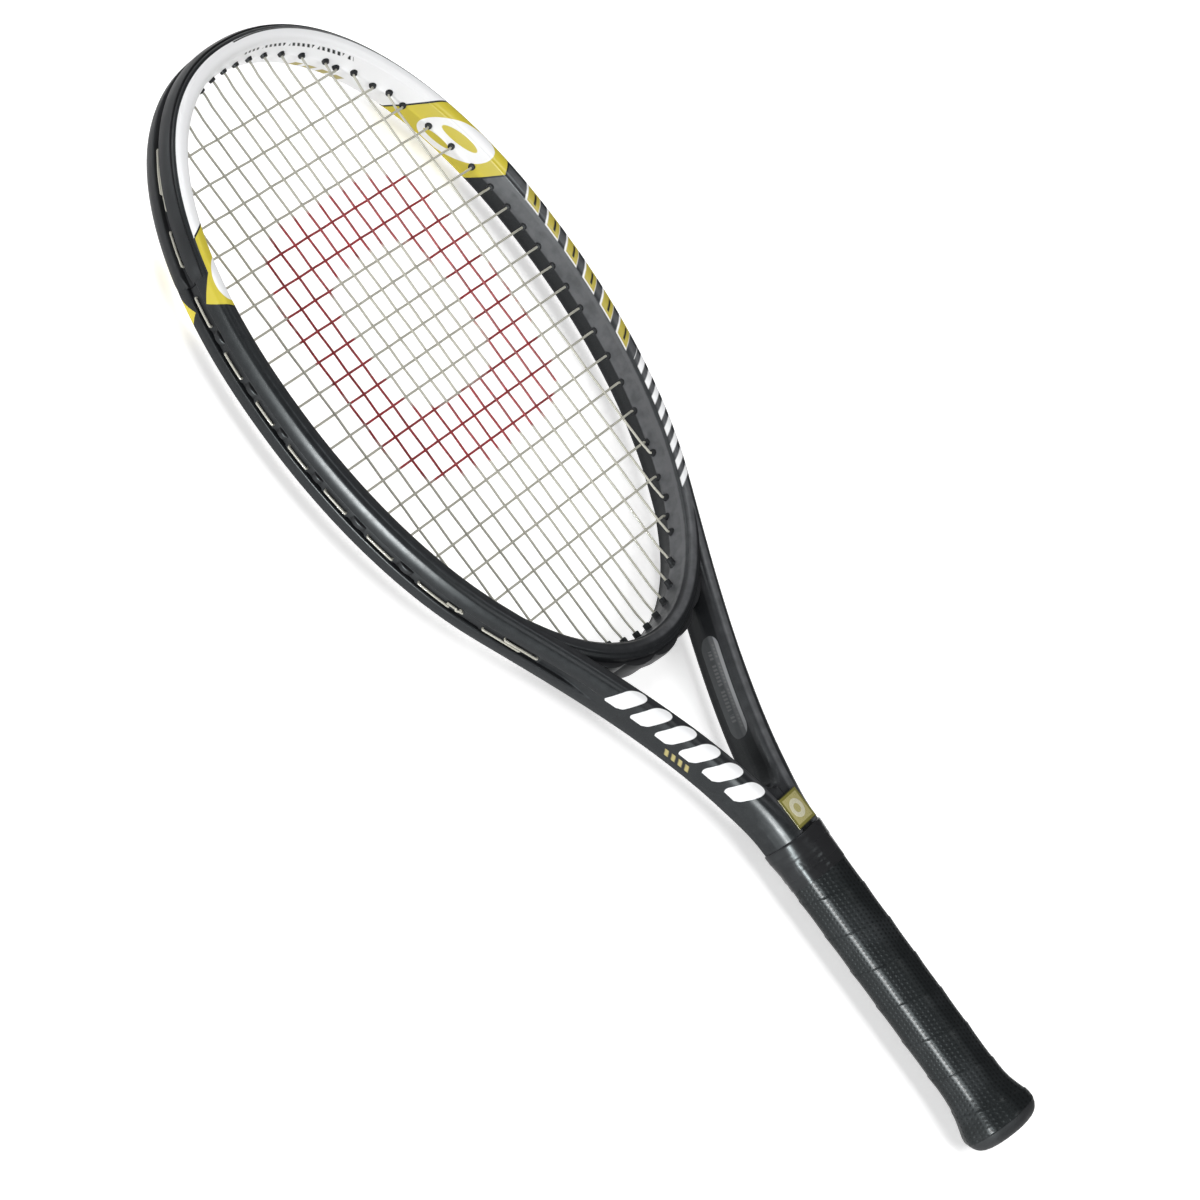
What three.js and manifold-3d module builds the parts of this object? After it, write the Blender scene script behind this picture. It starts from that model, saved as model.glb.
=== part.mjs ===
import * as THREE from 'three';
import { mergeVertices } from 'three/addons/utils/BufferGeometryUtils.js';
import Module from 'manifold-3d';

// A strung tennis racket with an oversize head, lying flat. Lengths are in millimetres.
// Measures along the racket run from the butt end (0) to the tip. The string plane is z = 0
// until the last step, which stands the racket on the ground with its tip towards -X.

// Overall
const LENGTH = 698.5;
const HALF_HEIGHT = 20.75;
const GAP = 0.3;

// Head: the centre line of the hoop
const HEAD_CENTRE = 515;
const HEAD_HALF_WIDTH = 131;
const HEAD_TO_TIP = 175.7;
const HEAD_TO_THROAT = 199;
const TIP_FULLNESS = 2.2;
const SHAFT_JOIN = 378;
const BRIDGE_END = 355;

// Beam: half sizes of the tube's section, and its string groove
const BEAM_HALF_WIDTH = 6.25;
const BEAM_HALF_DEPTH = 13.5;
const GROOVE_FLOOR = 3.4;
const GROOVE_FADE = [312, 336];

// Handle
const LEG_OFFSET = 8.6;
const LEG_END = 12;
const SHOULDER = [191, 195];
const LEG_SHRINK = 0.62;
const PALLET_ENDS = [11, 189.4];
const PALLET_HALF_WIDTH = 15.25;
const HANDLE_FLATTENING = 1.25;
const CORNER_SHARE = 0.42;
const BADGE = { length: 16.5, width: 18, thickness: 0.8, centre: 203.8 };
const DOOR_RADIUS = 10.5;
const STAPLE_AT = 25;

// Strings
const STRING_RADIUS = 0.65;
const STRING_LEVEL = 0.8;
const MAIN_COUNT = 16;
const CROSS_COUNT = 20;
const CROSS_CENTRE = 512.6;
const LOOP_DEPTH = 5.8;
const TAIL = 9;

// Grommets
const BARREL_REACH = 7.85;
const BASE_TOP = 4.5;
const BARREL_RADIUS = 1.8;
const BORE_RADIUS = 1.25;
const HOLE_RADIUS = 2.3;
const BUMPER_END = 597;
const STRIP_START = 353.3;
const THROAT_STRIP_REACH = 56;

const HEAD_STEPS = 48;
const SHAFT_STEPS = 8;
const BRIDGE_STEPS = 12;

const wasm = await Module();
wasm.setup();

// ---------- solids ----------

function solid(geometry) {
  const plain = geometry.clone();
  plain.deleteAttribute('normal');
  plain.deleteAttribute('uv');
  const merged = mergeVertices(plain, 1e-4);
  return new wasm.Manifold(new wasm.Mesh({
    numProp: 3,
    vertProperties: new Float32Array(merged.attributes.position.array),
    triVerts: new Uint32Array(merged.index.array),
  }));
}

function joined(bodies) {
  return bodies.reduce((whole, body) => whole.add(body));
}

function without(body, cutters) {
  return cutters.reduce((rest, cutter) => rest.subtract(cutter), body);
}

function geometryOf(body) {
  const mesh = body.getMesh();
  const geometry = new THREE.BufferGeometry();
  geometry.setAttribute('position', new THREE.BufferAttribute(mesh.vertProperties, 3));
  geometry.setIndex(new THREE.BufferAttribute(mesh.triVerts, 1));
  geometry.computeVertexNormals();
  return geometry;
}

// ---------- paths: a path is a list of stations, each a point with its outward normal ----------

class HeadCurve extends THREE.Curve {
  constructor(start, end) {
    super();
    this.start = start;
    this.end = end;
    this.arcLengthDivisions = 800;
  }

  // The tip half is a superellipse and the throat half is an ellipse.
  getPoint(t, target = new THREE.Vector3()) {
    const angle = this.start + (this.end - this.start) * t;
    const along = Math.sin(angle);
    const across = Math.cos(angle);
    const power = along > 0 ? 2 / TIP_FULLNESS : 1;
    const reach = along > 0 ? HEAD_TO_TIP : HEAD_TO_THROAT;
    return target.set(
      HEAD_CENTRE + reach * Math.sign(along) * Math.abs(along) ** power,
      HEAD_HALF_WIDTH * Math.sign(across) * Math.abs(across) ** power,
      0,
    );
  }
}

function stationsOf(curve, steps) {
  return Array.from({ length: steps + 1 }, (_, i) => {
    const point = curve.getPointAt(i / steps);
    const tangent = curve.getTangentAt(i / steps);
    return { x: point.x, y: point.y, nx: -tangent.y, ny: tangent.x };
  });
}

function between(a, b, share) {
  return {
    x: a.x + (b.x - a.x) * share,
    y: a.y + (b.y - a.y) * share,
    nx: a.nx + (b.nx - a.nx) * share,
    ny: a.ny + (b.ny - a.ny) * share,
  };
}

function stationAt(path, index) {
  const low = Math.min(Math.floor(index), path.length - 2);
  return between(path[low], path[low + 1], index - low);
}

function stretch(path, from, to) {
  const inner = path.filter((_, i) => i > from + 0.05 && i < to - 0.05);
  return [stationAt(path, from), ...inner, stationAt(path, to)];
}

function indexAtX(path, x) {
  const i = path.findIndex((station) => station.x >= x);
  return i - 1 + (x - path[i - 1].x) / (path[i].x - path[i - 1].x);
}

function nearestIndex(path, point) {
  let best = 0;
  let nearest = Infinity;
  for (let i = 0; i < path.length - 1; i += 1) {
    const dx = path[i + 1].x - path[i].x;
    const dy = path[i + 1].y - path[i].y;
    const dot = (point.x - path[i].x) * dx + (point.y - path[i].y) * dy;
    const share = THREE.MathUtils.clamp(dot / (dx * dx + dy * dy), 0, 1);
    const gap = Math.hypot(path[i].x + dx * share - point.x, path[i].y + dy * share - point.y);
    if (gap < nearest) {
      nearest = gap;
      best = i + share;
    }
  }
  return best;
}

function offsetPoint(station, offset) {
  return { x: station.x + station.nx * offset, y: station.y + station.ny * offset };
}

function mirrored(path) {
  return path.map(({ x, y, nx, ny }) => ({ x, y: -y, nx, ny: -ny })).reverse();
}

// ---------- tubes: a section (outward, upward) carried along the stations ----------

function tube(section, path, reshape = (u, v) => [u, v]) {
  const steps = path.length - 1;
  const geometry = new THREE.ExtrudeGeometry(section, { depth: steps, steps, bevelEnabled: false });
  const position = geometry.attributes.position;
  for (let i = 0; i < position.count; i += 1) {
    const station = path[Math.round(position.getZ(i))];
    const [u, v] = reshape(position.getX(i), position.getY(i), station);
    position.setXYZ(i, station.x + station.nx * u, station.y + station.ny * u, v);
  }
  return geometry;
}

function outline(points) {
  return new THREE.Shape(points.map(([u, v]) => new THREE.Vector2(u, v)));
}

// The upper half of a symmetric section, from its outward side to its inward side.
function symmetric(half) {
  const lower = half.map(([u, v]) => [u, -v]).reverse();
  return [...half, ...lower];
}

function withHole(points, hole) {
  const shape = outline(points);
  shape.holes.push(new THREE.Path(hole.map(([u, v]) => new THREE.Vector2(u, v))));
  return shape;
}

// ---------- the frame's paths ----------

const joinAngle = Math.asin((HEAD_CENTRE - SHAFT_JOIN) / HEAD_TO_THROAT);
const headPath = stationsOf(new HeadCurve(-joinAngle, Math.PI + joinAngle), HEAD_STEPS);

function legPath() {
  const start = new THREE.Vector3(SHOULDER[1], LEG_OFFSET, 0);
  const end = headPath[0];
  const slope = new THREE.Vector3(end.ny, -end.nx, 0);
  const join = new THREE.Vector3(end.x, end.y, 0);
  const curve = new THREE.CubicBezierCurve3(
    start,
    start.clone().setX(SHOULDER[1] + 55),
    join.clone().addScaledVector(slope, -44),
    join,
  );
  const straight = [LEG_END, SHOULDER[0]].map((x) => ({ x, y: LEG_OFFSET, nx: 0, ny: 1 }));
  return [...straight, ...stationsOf(curve, SHAFT_STEPS)];
}

const leg = legPath();
const hairpinPath = [...leg, ...headPath.slice(1, -1), ...mirrored(leg)];
const bridgeAngle = Math.asin((HEAD_CENTRE - BRIDGE_END) / HEAD_TO_THROAT);
const bridgePath = stationsOf(new HeadCurve(bridgeAngle - Math.PI, -bridgeAngle), BRIDGE_STEPS);

// ---------- the beam ----------

const BEAM = symmetric([
  [GROOVE_FLOOR, 2.9],
  [BEAM_HALF_WIDTH, 3.5],
  [6.05, 8.2],
  [4.2, 12],
  [1.4, BEAM_HALF_DEPTH],
  [-1.4, BEAM_HALF_DEPTH],
  [-4.6, 11.2],
  [-BEAM_HALF_WIDTH, 6],
]);
const BEAM_HOLLOW = symmetric([
  [2.2, 3.9],
  [4.6, 5.6],
  [1.2, 12.2],
  [-5.1, 6.2],
]);

const PLUG = symmetric([
  [1.7, 9.5],
  [0.9, 11.2],
  [-4.3, 6],
]);

function smooth(x, from, to) {
  return THREE.MathUtils.smoothstep(x, from, to);
}

// Towards the handle the groove fades, the two legs widen until they nearly meet, and inside
// the handle they narrow so that the pallet fits round them.
function beamShape(u, v, { x }) {
  const atGroove = u > 3 && Math.abs(v) < 3.2;
  const depth = atGroove ? smooth(x, ...GROOVE_FADE) * (BEAM_HALF_WIDTH - GROOVE_FLOOR) : 0;
  const level = atGroove ? BEAM_HALF_WIDTH - depth : u;
  const widening = 1.31 - 0.31 * smooth(x, 206, 300);
  const inHandle = x < SHOULDER[0] + 1;
  const across = inHandle && level > 0 ? LEG_SHRINK : widening;
  return [level * across, v * (inHandle ? LEG_SHRINK : 1)];
}

// ---------- string places ----------

// Spacing grows from the middle of the head outwards.
function mainOffset(k) {
  return 10.9 * k + 0.226 * k * k;
}

function crossPlace(k) {
  return CROSS_CENTRE + 12.8 * k - 0.035 * k * k + 0.15 * k * Math.abs(k) + 0.0125 * k ** 3;
}

// The place on a path, between two indices, whose inner edge has the wanted x or y.
function findIndex(path, from, to, axis, wanted, offset) {
  let low = from;
  let high = to;
  const rising = offsetPoint(stationAt(path, to), offset)[axis]
    > offsetPoint(stationAt(path, from), offset)[axis];
  for (let i = 0; i < 40; i += 1) {
    const middle = (low + high) / 2;
    const value = offsetPoint(stationAt(path, middle), offset)[axis];
    if ((value < wanted) === rising) low = middle;
    else high = middle;
  }
  return (low + high) / 2;
}

const STRING_TURN = BARREL_REACH + 0.9;
const fullHead = stationsOf(new HeadCurve(-Math.PI / 2, Math.PI / 2), HEAD_STEPS * 2);
const tipIndex = fullHead.length - 1;
const wideIndex = indexAtX(fullHead, HEAD_CENTRE);

// A hole is drilled square to the beam behind it. turn is where the string bends inside the
// head, mouth is the inner end of the barrel, base the outer end, and loop the string outside.
function squareHole(index, level, side) {
  const rim = stationAt(fullHead, index);
  const mouth = offsetPoint(rim, -BARREL_REACH);
  const behind = stationAt(hairpinPath, nearestIndex(hairpinPath, mouth));
  const reach = (behind.x - mouth.x) * behind.nx + (behind.y - mouth.y) * behind.ny;
  const from = (distance) => ({
    x: mouth.x + behind.nx * distance,
    y: side * (mouth.y + behind.ny * distance),
  });
  const turn = offsetPoint(rim, -STRING_TURN);
  return {
    turn: { x: turn.x, y: side * turn.y },
    mouth: from(0),
    base: from(reach + BASE_TOP),
    loop: from(reach + LOOP_DEPTH),
    level,
  };
}

// A bridge hole runs straight along the string.
function bridgeHole(y, side) {
  const edge = (offset) => {
    const index = findIndex(bridgePath, BRIDGE_STEPS / 2, BRIDGE_STEPS, 'y', y, offset);
    return { x: offsetPoint(stationAt(bridgePath, index), offset).x, y: side * y };
  };
  const mouth = edge(-BARREL_REACH);
  return {
    turn: { x: mouth.x + 0.9, y: side * y },
    mouth,
    base: edge(BASE_TOP),
    loop: edge(LOOP_DEPTH),
    level: STRING_LEVEL,
  };
}

function mainHoles(number) {
  const middle = (MAIN_COUNT - 1) / 2;
  const side = number < middle ? 1 : -1;
  const y = mainOffset(Math.abs(number - middle));
  const inBridge = y < 60;
  const top = findIndex(fullHead, wideIndex, tipIndex, 'y', y, -STRING_TURN);
  const bottom = findIndex(fullHead, 0, wideIndex, 'y', y, -STRING_TURN);
  return {
    top: squareHole(top, STRING_LEVEL, side),
    bottom: inBridge ? bridgeHole(y, side) : squareHole(bottom, STRING_LEVEL, side),
    inBridge,
    corner: !inBridge && y < 70,
  };
}

function crossHoles(number) {
  const x = crossPlace((CROSS_COUNT - 1) / 2 - number);
  const index = findIndex(fullHead, 0, tipIndex, 'x', x, -STRING_TURN);
  return {
    left: squareHole(index, -STRING_LEVEL, 1),
    right: squareHole(index, -STRING_LEVEL, -1),
  };
}

const mains = Array.from({ length: MAIN_COUNT }, (_, i) => mainHoles(i));
const crosses = Array.from({ length: CROSS_COUNT }, (_, i) => crossHoles(i));

// ---------- barrels and holes ----------

function rod(start, end, level, radius, extra) {
  const length = Math.hypot(end.x - start.x, end.y - start.y) + extra * 2;
  const geometry = new THREE.CylinderGeometry(radius, radius, length, 5);
  geometry.rotateZ(Math.atan2(end.y - start.y, end.x - start.x) - Math.PI / 2);
  geometry.translate((start.x + end.x) / 2, (start.y + end.y) / 2, level);
  return solid(geometry);
}

const barrel = (hole) => rod(hole.mouth, hole.base, hole.level, BARREL_RADIUS, 0);
const bore = (hole) => rod(hole.mouth, hole.base, hole.level, BORE_RADIUS, 3);
const drill = (hole) => rod(hole.mouth, hole.base, hole.level, HOLE_RADIUS, 3);

const atTip = (hole) => hole.mouth.x > BUMPER_END - 4;
const sideHoles = (side) => {
  const ends = crosses.map((cross) => (side > 0 ? cross.left : cross.right));
  const low = mains.filter((main) => !main.inBridge && !main.corner).map((main) => main.bottom);
  return [...ends, ...low.filter((hole) => hole.mouth.y * side > 0)].filter((h) => !atTip(h));
};
const tipHoles = [
  ...mains.map((main) => main.top),
  ...crosses.flatMap((cross) => [cross.left, cross.right]).filter(atTip),
];
const throatHoles = mains.filter((main) => main.inBridge).map((main) => main.bottom);
const cornerHoles = mains.filter((main) => main.corner).map((main) => main.bottom);

function makeHairpin() {
  const body = solid(tube(withHole(BEAM, BEAM_HOLLOW), hairpinPath, beamShape));
  const holes = [...tipHoles, ...sideHoles(1), ...sideHoles(-1), ...cornerHoles];
  return without(body, holes.map(drill));
}

// The hairpin with its groove and hollow filled, a little larger all round.
function hairpinRoom() {
  const filled = BEAM.slice(1, -1).map(([u, v]) => [u * 1.056, v * 1.026]);
  return solid(tube(outline(filled), hairpinPath, beamShape));
}

function makeBridge(room) {
  const body = solid(tube(withHole(BEAM, BEAM_HOLLOW), bridgePath));
  return without(body, [room, ...throatHoles.map(drill), ...cornerHoles.map(drill)]);
}

// ---------- grommet strips ----------

const BUMPER = symmetric([
  [BASE_TOP, 1.9],
  [7.8, 2.2],
  [7.5, 7.4],
  [6.25, 9.4],
  [6.4, 8.3],
  [6.6, 3.2],
  [GROOVE_FLOOR + GAP, 2.5],
]);
const STRIP = symmetric([
  [BASE_TOP, 2.5],
  [GROOVE_FLOOR + GAP, 2.5],
]);
const PAD = symmetric([
  [6.15, 1.6],
  [4, 2],
]);

function makeBumper() {
  const start = indexAtX(hairpinPath, BUMPER_END);
  const path = stretch(hairpinPath, start, hairpinPath.length - 1 - start);
  const body = joined([solid(tube(outline(BUMPER), path)), ...tipHoles.map(barrel)]);
  return without(body, tipHoles.map(bore));
}

// A raised pad fills the groove between two holes that no string joins.
function pad(path, from, to) {
  const start = nearestIndex(path, from.base);
  const end = nearestIndex(path, to.base);
  const low = Math.min(start, end);
  const high = Math.max(start, end);
  const margin = (high - low) * 0.27;
  return solid(tube(outline(PAD), stretch(path, low + margin, high - margin)));
}

function stripPath(side, from, to) {
  const first = indexAtX(hairpinPath, from);
  const last = indexAtX(hairpinPath, to);
  const end = hairpinPath.length - 1;
  return side > 0 ? stretch(hairpinPath, first, last) : stretch(hairpinPath, end - last, end - first);
}

// On each side a string loop joins every second pair of cross holes.
function makeSideStrip(side) {
  const holes = sideHoles(side);
  const ends = crosses.map((cross) => (side > 0 ? cross.left : cross.right));
  const base = solid(tube(outline(STRIP), stripPath(side, STRIP_START, BUMPER_END - 0.6)));
  const pads = [];
  for (let i = side > 0 ? 5 : 4; i < CROSS_COUNT - 3; i += 2) {
    pads.push(pad(hairpinPath, ends[i], ends[i + 1]));
  }
  return without(joined([base, ...holes.map(barrel), ...pads]), holes.map(bore));
}

function makeThroatStrip(room) {
  const low = findIndex(bridgePath, 0, BRIDGE_STEPS / 2, 'y', -THROAT_STRIP_REACH, 0);
  const base = solid(tube(outline(STRIP), stretch(bridgePath, low, BRIDGE_STEPS - low)));
  const pads = [[4, 5], [6, 7], [8, 9], [10, 11]].map(([a, b]) => (
    pad(bridgePath, mains[a].bottom, mains[b].bottom)
  ));
  const body = joined([base, ...throatHoles.map(barrel), ...pads]);
  return without(body, [room, ...throatHoles.map(bore)]);
}

function makeCornerGrommet(side) {
  const hole = cornerHoles.find((corner) => corner.mouth.y * side > 0);
  const index = nearestIndex(hairpinPath, hole.base);
  const flange = solid(tube(outline(STRIP), stretch(hairpinPath, index - 0.13, index + 0.13)));
  return joined([flange, barrel(hole)]).subtract(bore(hole));
}

// ---------- strings ----------

const STRING_SECTION = outline(Array.from({ length: 6 }, (_, i) => {
  const angle = (i * Math.PI) / 3;
  return [STRING_RADIUS * Math.sin(angle), STRING_RADIUS * Math.cos(angle)];
}).reverse());

// Stations of a bent line, with mitred corners.
function mitred(points) {
  return points.map((point, i) => {
    const next = points[Math.min(i + 1, points.length - 1)];
    const last = points[Math.max(i - 1, 0)];
    const back = new THREE.Vector2(point.x - last.x, point.y - last.y);
    const ahead = new THREE.Vector2(next.x - point.x, next.y - point.y);
    if (i === 0) back.copy(ahead);
    if (i === points.length - 1) ahead.copy(back);
    back.normalize();
    ahead.normalize();
    const stretchBy = 1 / (1 + back.dot(ahead));
    return {
      x: point.x,
      y: point.y,
      nx: -(back.y + ahead.y) * stretchBy,
      ny: (back.x + ahead.x) * stretchBy,
    };
  });
}

function loopBetween(path, a, b) {
  const middle = { x: (a.loop.x + b.loop.x) / 2, y: (a.loop.y + b.loop.y) / 2 };
  const station = stationAt(path, nearestIndex(path, middle));
  return offsetPoint(station, LOOP_DEPTH);
}

// The cut end of a string lies in the groove, pointing to the tip.
function tail(hole) {
  const index = nearestIndex(hairpinPath, hole.loop);
  const here = stationAt(hairpinPath, index);
  const step = Math.sign(hole.loop.y);
  const next = stationAt(hairpinPath, index + step);
  const share = TAIL / Math.hypot(next.x - here.x, next.y - here.y);
  return offsetPoint(stationAt(hairpinPath, index + step * share), LOOP_DEPTH);
}

function makeString(points, level) {
  const geometry = tube(STRING_SECTION, mitred(points));
  geometry.translate(0, 0, level);
  return solid(geometry);
}

function makeMainString() {
  const points = [tail(mains[0].bottom)];
  mains.forEach(({ top, bottom, inBridge }, i) => {
    const upward = i % 2 === 0;
    const run = [bottom.loop, bottom.turn, top.turn, top.loop];
    points.push(...(upward ? run : run.reverse()));
    if (i === mains.length - 1) return;
    const next = mains[i + 1];
    const path = !upward && inBridge ? bridgePath : hairpinPath;
    points.push(upward ? loopBetween(path, top, next.top) : loopBetween(path, bottom, next.bottom));
  });
  points.push(tail(mains[mains.length - 1].bottom));
  return makeString(points, STRING_LEVEL);
}

function makeCrossString() {
  const points = [tail(crosses[0].right)];
  crosses.forEach(({ left, right }, i) => {
    const leftward = i % 2 === 0;
    const run = [right.loop, right.turn, left.turn, left.loop];
    points.push(...(leftward ? run : run.reverse()));
    if (i === crosses.length - 1) return;
    const next = crosses[i + 1];
    points.push(leftward
      ? loopBetween(hairpinPath, left, next.left)
      : loopBetween(hairpinPath, right, next.right));
  });
  points.push(tail(crosses[crosses.length - 1].right));
  return makeString(points, -STRING_LEVEL);
}

// ---------- handle ----------

function octagon(halfWidth, halfHeight) {
  const w = halfWidth * CORNER_SHARE;
  const h = halfHeight * CORNER_SHARE;
  return [
    [halfWidth, -h], [halfWidth, h], [w, halfHeight], [-w, halfHeight],
    [-halfWidth, h], [-halfWidth, -h], [-w, -halfHeight], [w, -halfHeight],
  ];
}

function straight(from, to) {
  return [from, to].map((x) => ({ x, y: 0, nx: 0, ny: 1 }));
}

// An octagonal body along the handle. Each ring is [x, outer half width, inner half width].
function octagonal(rings, hollow) {
  const path = rings.map(([x, outer, inner]) => ({ x, y: 0, nx: 0, ny: 1, outer, inner }));
  const section = hollow ? withHole(octagon(2, 2), octagon(1, 1)) : outline(octagon(2, 2));
  return tube(section, path, (u, v, { outer, inner }) => {
    const isOuter = Math.max(Math.abs(u), Math.abs(v)) > 1.5;
    const size = isOuter ? 2 : 1;
    const half = isOuter ? outer : inner;
    return [(u / size) * half, (v / size) * (half - HANDLE_FLATTENING)];
  });
}

function bar(from, to) {
  const [x1, y1, z1] = from;
  const [x2, y2, z2] = to;
  const geometry = new THREE.BoxGeometry(x2 - x1, y2 - y1, z2 - z1);
  geometry.translate((x1 + x2) / 2, (y1 + y2) / 2, (z1 + z2) / 2);
  return solid(geometry);
}

// Room for a staple: the crown's pocket and one hole for each leg.
function stapleRoom(side) {
  const levels = (a, b) => (side > 0 ? [a, b] : [-b, -a]);
  const [crownLow, crownHigh] = levels(14.75, 17);
  const [legLow, legHigh] = levels(9.9, 15);
  const x1 = STAPLE_AT - 0.7;
  const x2 = STAPLE_AT + 0.7;
  return [
    bar([x1, -4.6, crownLow], [x2, 4.6, crownHigh]),
    bar([x1, -4.6, legLow], [x2, -3.4, legHigh]),
    bar([x1, 3.4, legLow], [x2, 4.6, legHigh]),
  ];
}

function makeStaple(side) {
  const points = [
    [-4.3, 10.2], [-3.7, 10.2], [-3.7, 15.05], [3.7, 15.05],
    [3.7, 10.2], [4.3, 10.2], [4.3, 15.55], [-4.3, 15.55],
  ];
  const placed = side > 0 ? points : points.map(([y, z]) => [-y, -z]);
  return tube(outline(placed), straight(STAPLE_AT - 0.4, STAPLE_AT + 0.4));
}

function makePalletHalf(side) {
  const half = PALLET_HALF_WIDTH;
  const height = half - HANDLE_FLATTENING;
  const points = [
    [half, GAP / 2],
    [half, height * CORNER_SHARE],
    [half * CORNER_SHARE, height],
    [-half * CORNER_SHARE, height],
    [-half, height * CORNER_SHARE],
    [-half, GAP / 2],
    [-12.9, GAP / 2],
    [-12.9, 5.6],
    [-10.6, 8.8],
    [10.6, 8.8],
    [12.9, 5.6],
    [12.9, GAP / 2],
  ];
  const placed = side > 0 ? points : points.map(([y, z]) => [-y, -z]);
  const body = solid(tube(outline(placed), straight(...PALLET_ENDS)));
  return without(body, stapleRoom(side));
}

function makeLegPlug(side) {
  const path = [LEG_END + 2, LEG_END + 34].map((x) => ({ x, y: LEG_OFFSET, nx: 0, ny: 1 }));
  return tube(outline(PLUG), side > 0 ? path : mirrored(path), beamShape);
}

function makeButtCap() {
  const outside = solid(octagonal([
    [0, 14.6], [0.8, 17.6], [2.6, 19.9], [5.2, 21.4], [7.6, 21.9],
    [7.6, 20.2], [11.4, 20.2], [16, 18.9], [22, 17.4], [28, 16.5], [34, 16.2],
  ], false));
  const socket = solid(octagonal([[10.6, 15.55], [36, 15.55]], false));
  const chamber = solid(round([[0, 3], [13, 3], [13, 11], [0, 11]], 20));
  const mouth = solid(round([[0, -1], [DOOR_RADIUS + GAP, -1], [DOOR_RADIUS + GAP, 4], [0, 4]], 20));
  return without(outside, [socket, chamber, mouth, ...stapleRoom(1), ...stapleRoom(-1)]);
}

// A body of revolution about the handle's axis. Each point is [radius, distance from the butt].
function round(points, segments) {
  const geometry = new THREE.LatheGeometry(
    points.map(([radius, along]) => new THREE.Vector2(radius, along)),
    segments,
  );
  geometry.rotateZ(-Math.PI / 2);
  return geometry;
}

// The lid is flush with the end of the cap and snaps in with a ring behind it.
function makeDoor() {
  return round([
    [0, 0.2], [DOOR_RADIUS - 0.6, 0.2], [DOOR_RADIUS, 0.8], [DOOR_RADIUS, 2.6],
    [9.6, 2.6], [9.6, 7.5], [8.4, 7.5], [8.4, 2.6], [0, 2.6],
  ], 20);
}

function makeWrap() {
  return octagonal([
    [7.95, 21.7, 20.55], [9.2, 22, 20.55], [11.6, 22, 20.55], [16, 20.5, 19.25],
    [22, 18.8, 17.75], [28, 17.65, 16.85], [34.4, 17.25, 16.55], [35, 17.25, 15.55],
    [165.6, 17.25, 15.55], [166.4, 16.6, 15.55], [181, 16.6, 15.55],
  ], true);
}

function makeTape() {
  return octagonal([[168, 17.25, 16.9], [183, 17.25, 16.9]], true);
}

function makeCollar() {
  return octagonal([
    [173.5, 17.9, 17.55], [175, 18.4, 17.55], [184, 18.4, 17.55],
    [184.6, 18.4, 15.65], [190, 18.2, 15.65], [191.4, 17.2, 15.65],
  ], true);
}

function makeBadge() {
  const geometry = new THREE.BoxGeometry(BADGE.length, BADGE.width, BADGE.thickness);
  geometry.translate(BADGE.centre, 0, BEAM_HALF_DEPTH + GAP + BADGE.thickness / 2);
  return geometry;
}

// ---------- materials ----------

const look = (color, roughness, metalness) => (
  new THREE.MeshStandardMaterial({ color, roughness, metalness })
);
const graphite = look(0x2b2d30, 0.22, 0.1);
const blackPlastic = look(0x111213, 0.45, 0);
const stringWhite = look(0xdad8c8, 0.35, 0);
const foam = look(0x8d8a80, 0.9, 0);
const synthetic = look(0x1b1c1e, 0.55, 0);
const rubber = look(0x141415, 0.75, 0);
const tapeBlack = look(0x101112, 0.4, 0);
const steel = look(0xb8babd, 0.35, 0.9);
const gold = look(0xd9c468, 0.3, 0.6);

// ---------- the racket ----------

const racket = new THREE.Group();

function place(name, shape, material) {
  const geometry = shape.isBufferGeometry ? shape : geometryOf(shape);
  const mesh = new THREE.Mesh(geometry, material);
  mesh.name = name;
  racket.add(mesh);
}

const room = hairpinRoom();
place('frame_hairpin', makeHairpin(), graphite);
place('throat_bridge', makeBridge(room), graphite);
place('bumper_guard', makeBumper(), blackPlastic);
place('grommet_strip_left', makeSideStrip(1), blackPlastic);
place('grommet_strip_right', makeSideStrip(-1), blackPlastic);
place('throat_grommet_strip', makeThroatStrip(room), blackPlastic);
place('corner_grommet_left', makeCornerGrommet(1), blackPlastic);
place('corner_grommet_right', makeCornerGrommet(-1), blackPlastic);
place('main_string', makeMainString(), stringWhite);
place('cross_string', makeCrossString(), stringWhite);
place('handle_pallet_upper', makePalletHalf(1), foam);
place('handle_pallet_lower', makePalletHalf(-1), foam);
place('leg_plug_left', makeLegPlug(1), foam);
place('leg_plug_right', makeLegPlug(-1), foam);
place('butt_cap', makeButtCap(), rubber);
place('butt_cap_door', makeDoor(), blackPlastic);
place('butt_staple_upper', makeStaple(1), steel);
place('butt_staple_lower', makeStaple(-1), steel);
place('base_grip', makeWrap(), synthetic);
place('finishing_tape', makeTape(), tapeBlack);
place('grip_collar', makeCollar(), rubber);
place('throat_badge', makeBadge(), gold);

racket.rotation.z = Math.PI;
racket.position.set(LENGTH / 2, 0, HALF_HEIGHT);

const group = new THREE.Group();
group.add(racket);

export default group;
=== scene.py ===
import math

import bpy
import numpy as np
from mathutils import Matrix, Vector


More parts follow.
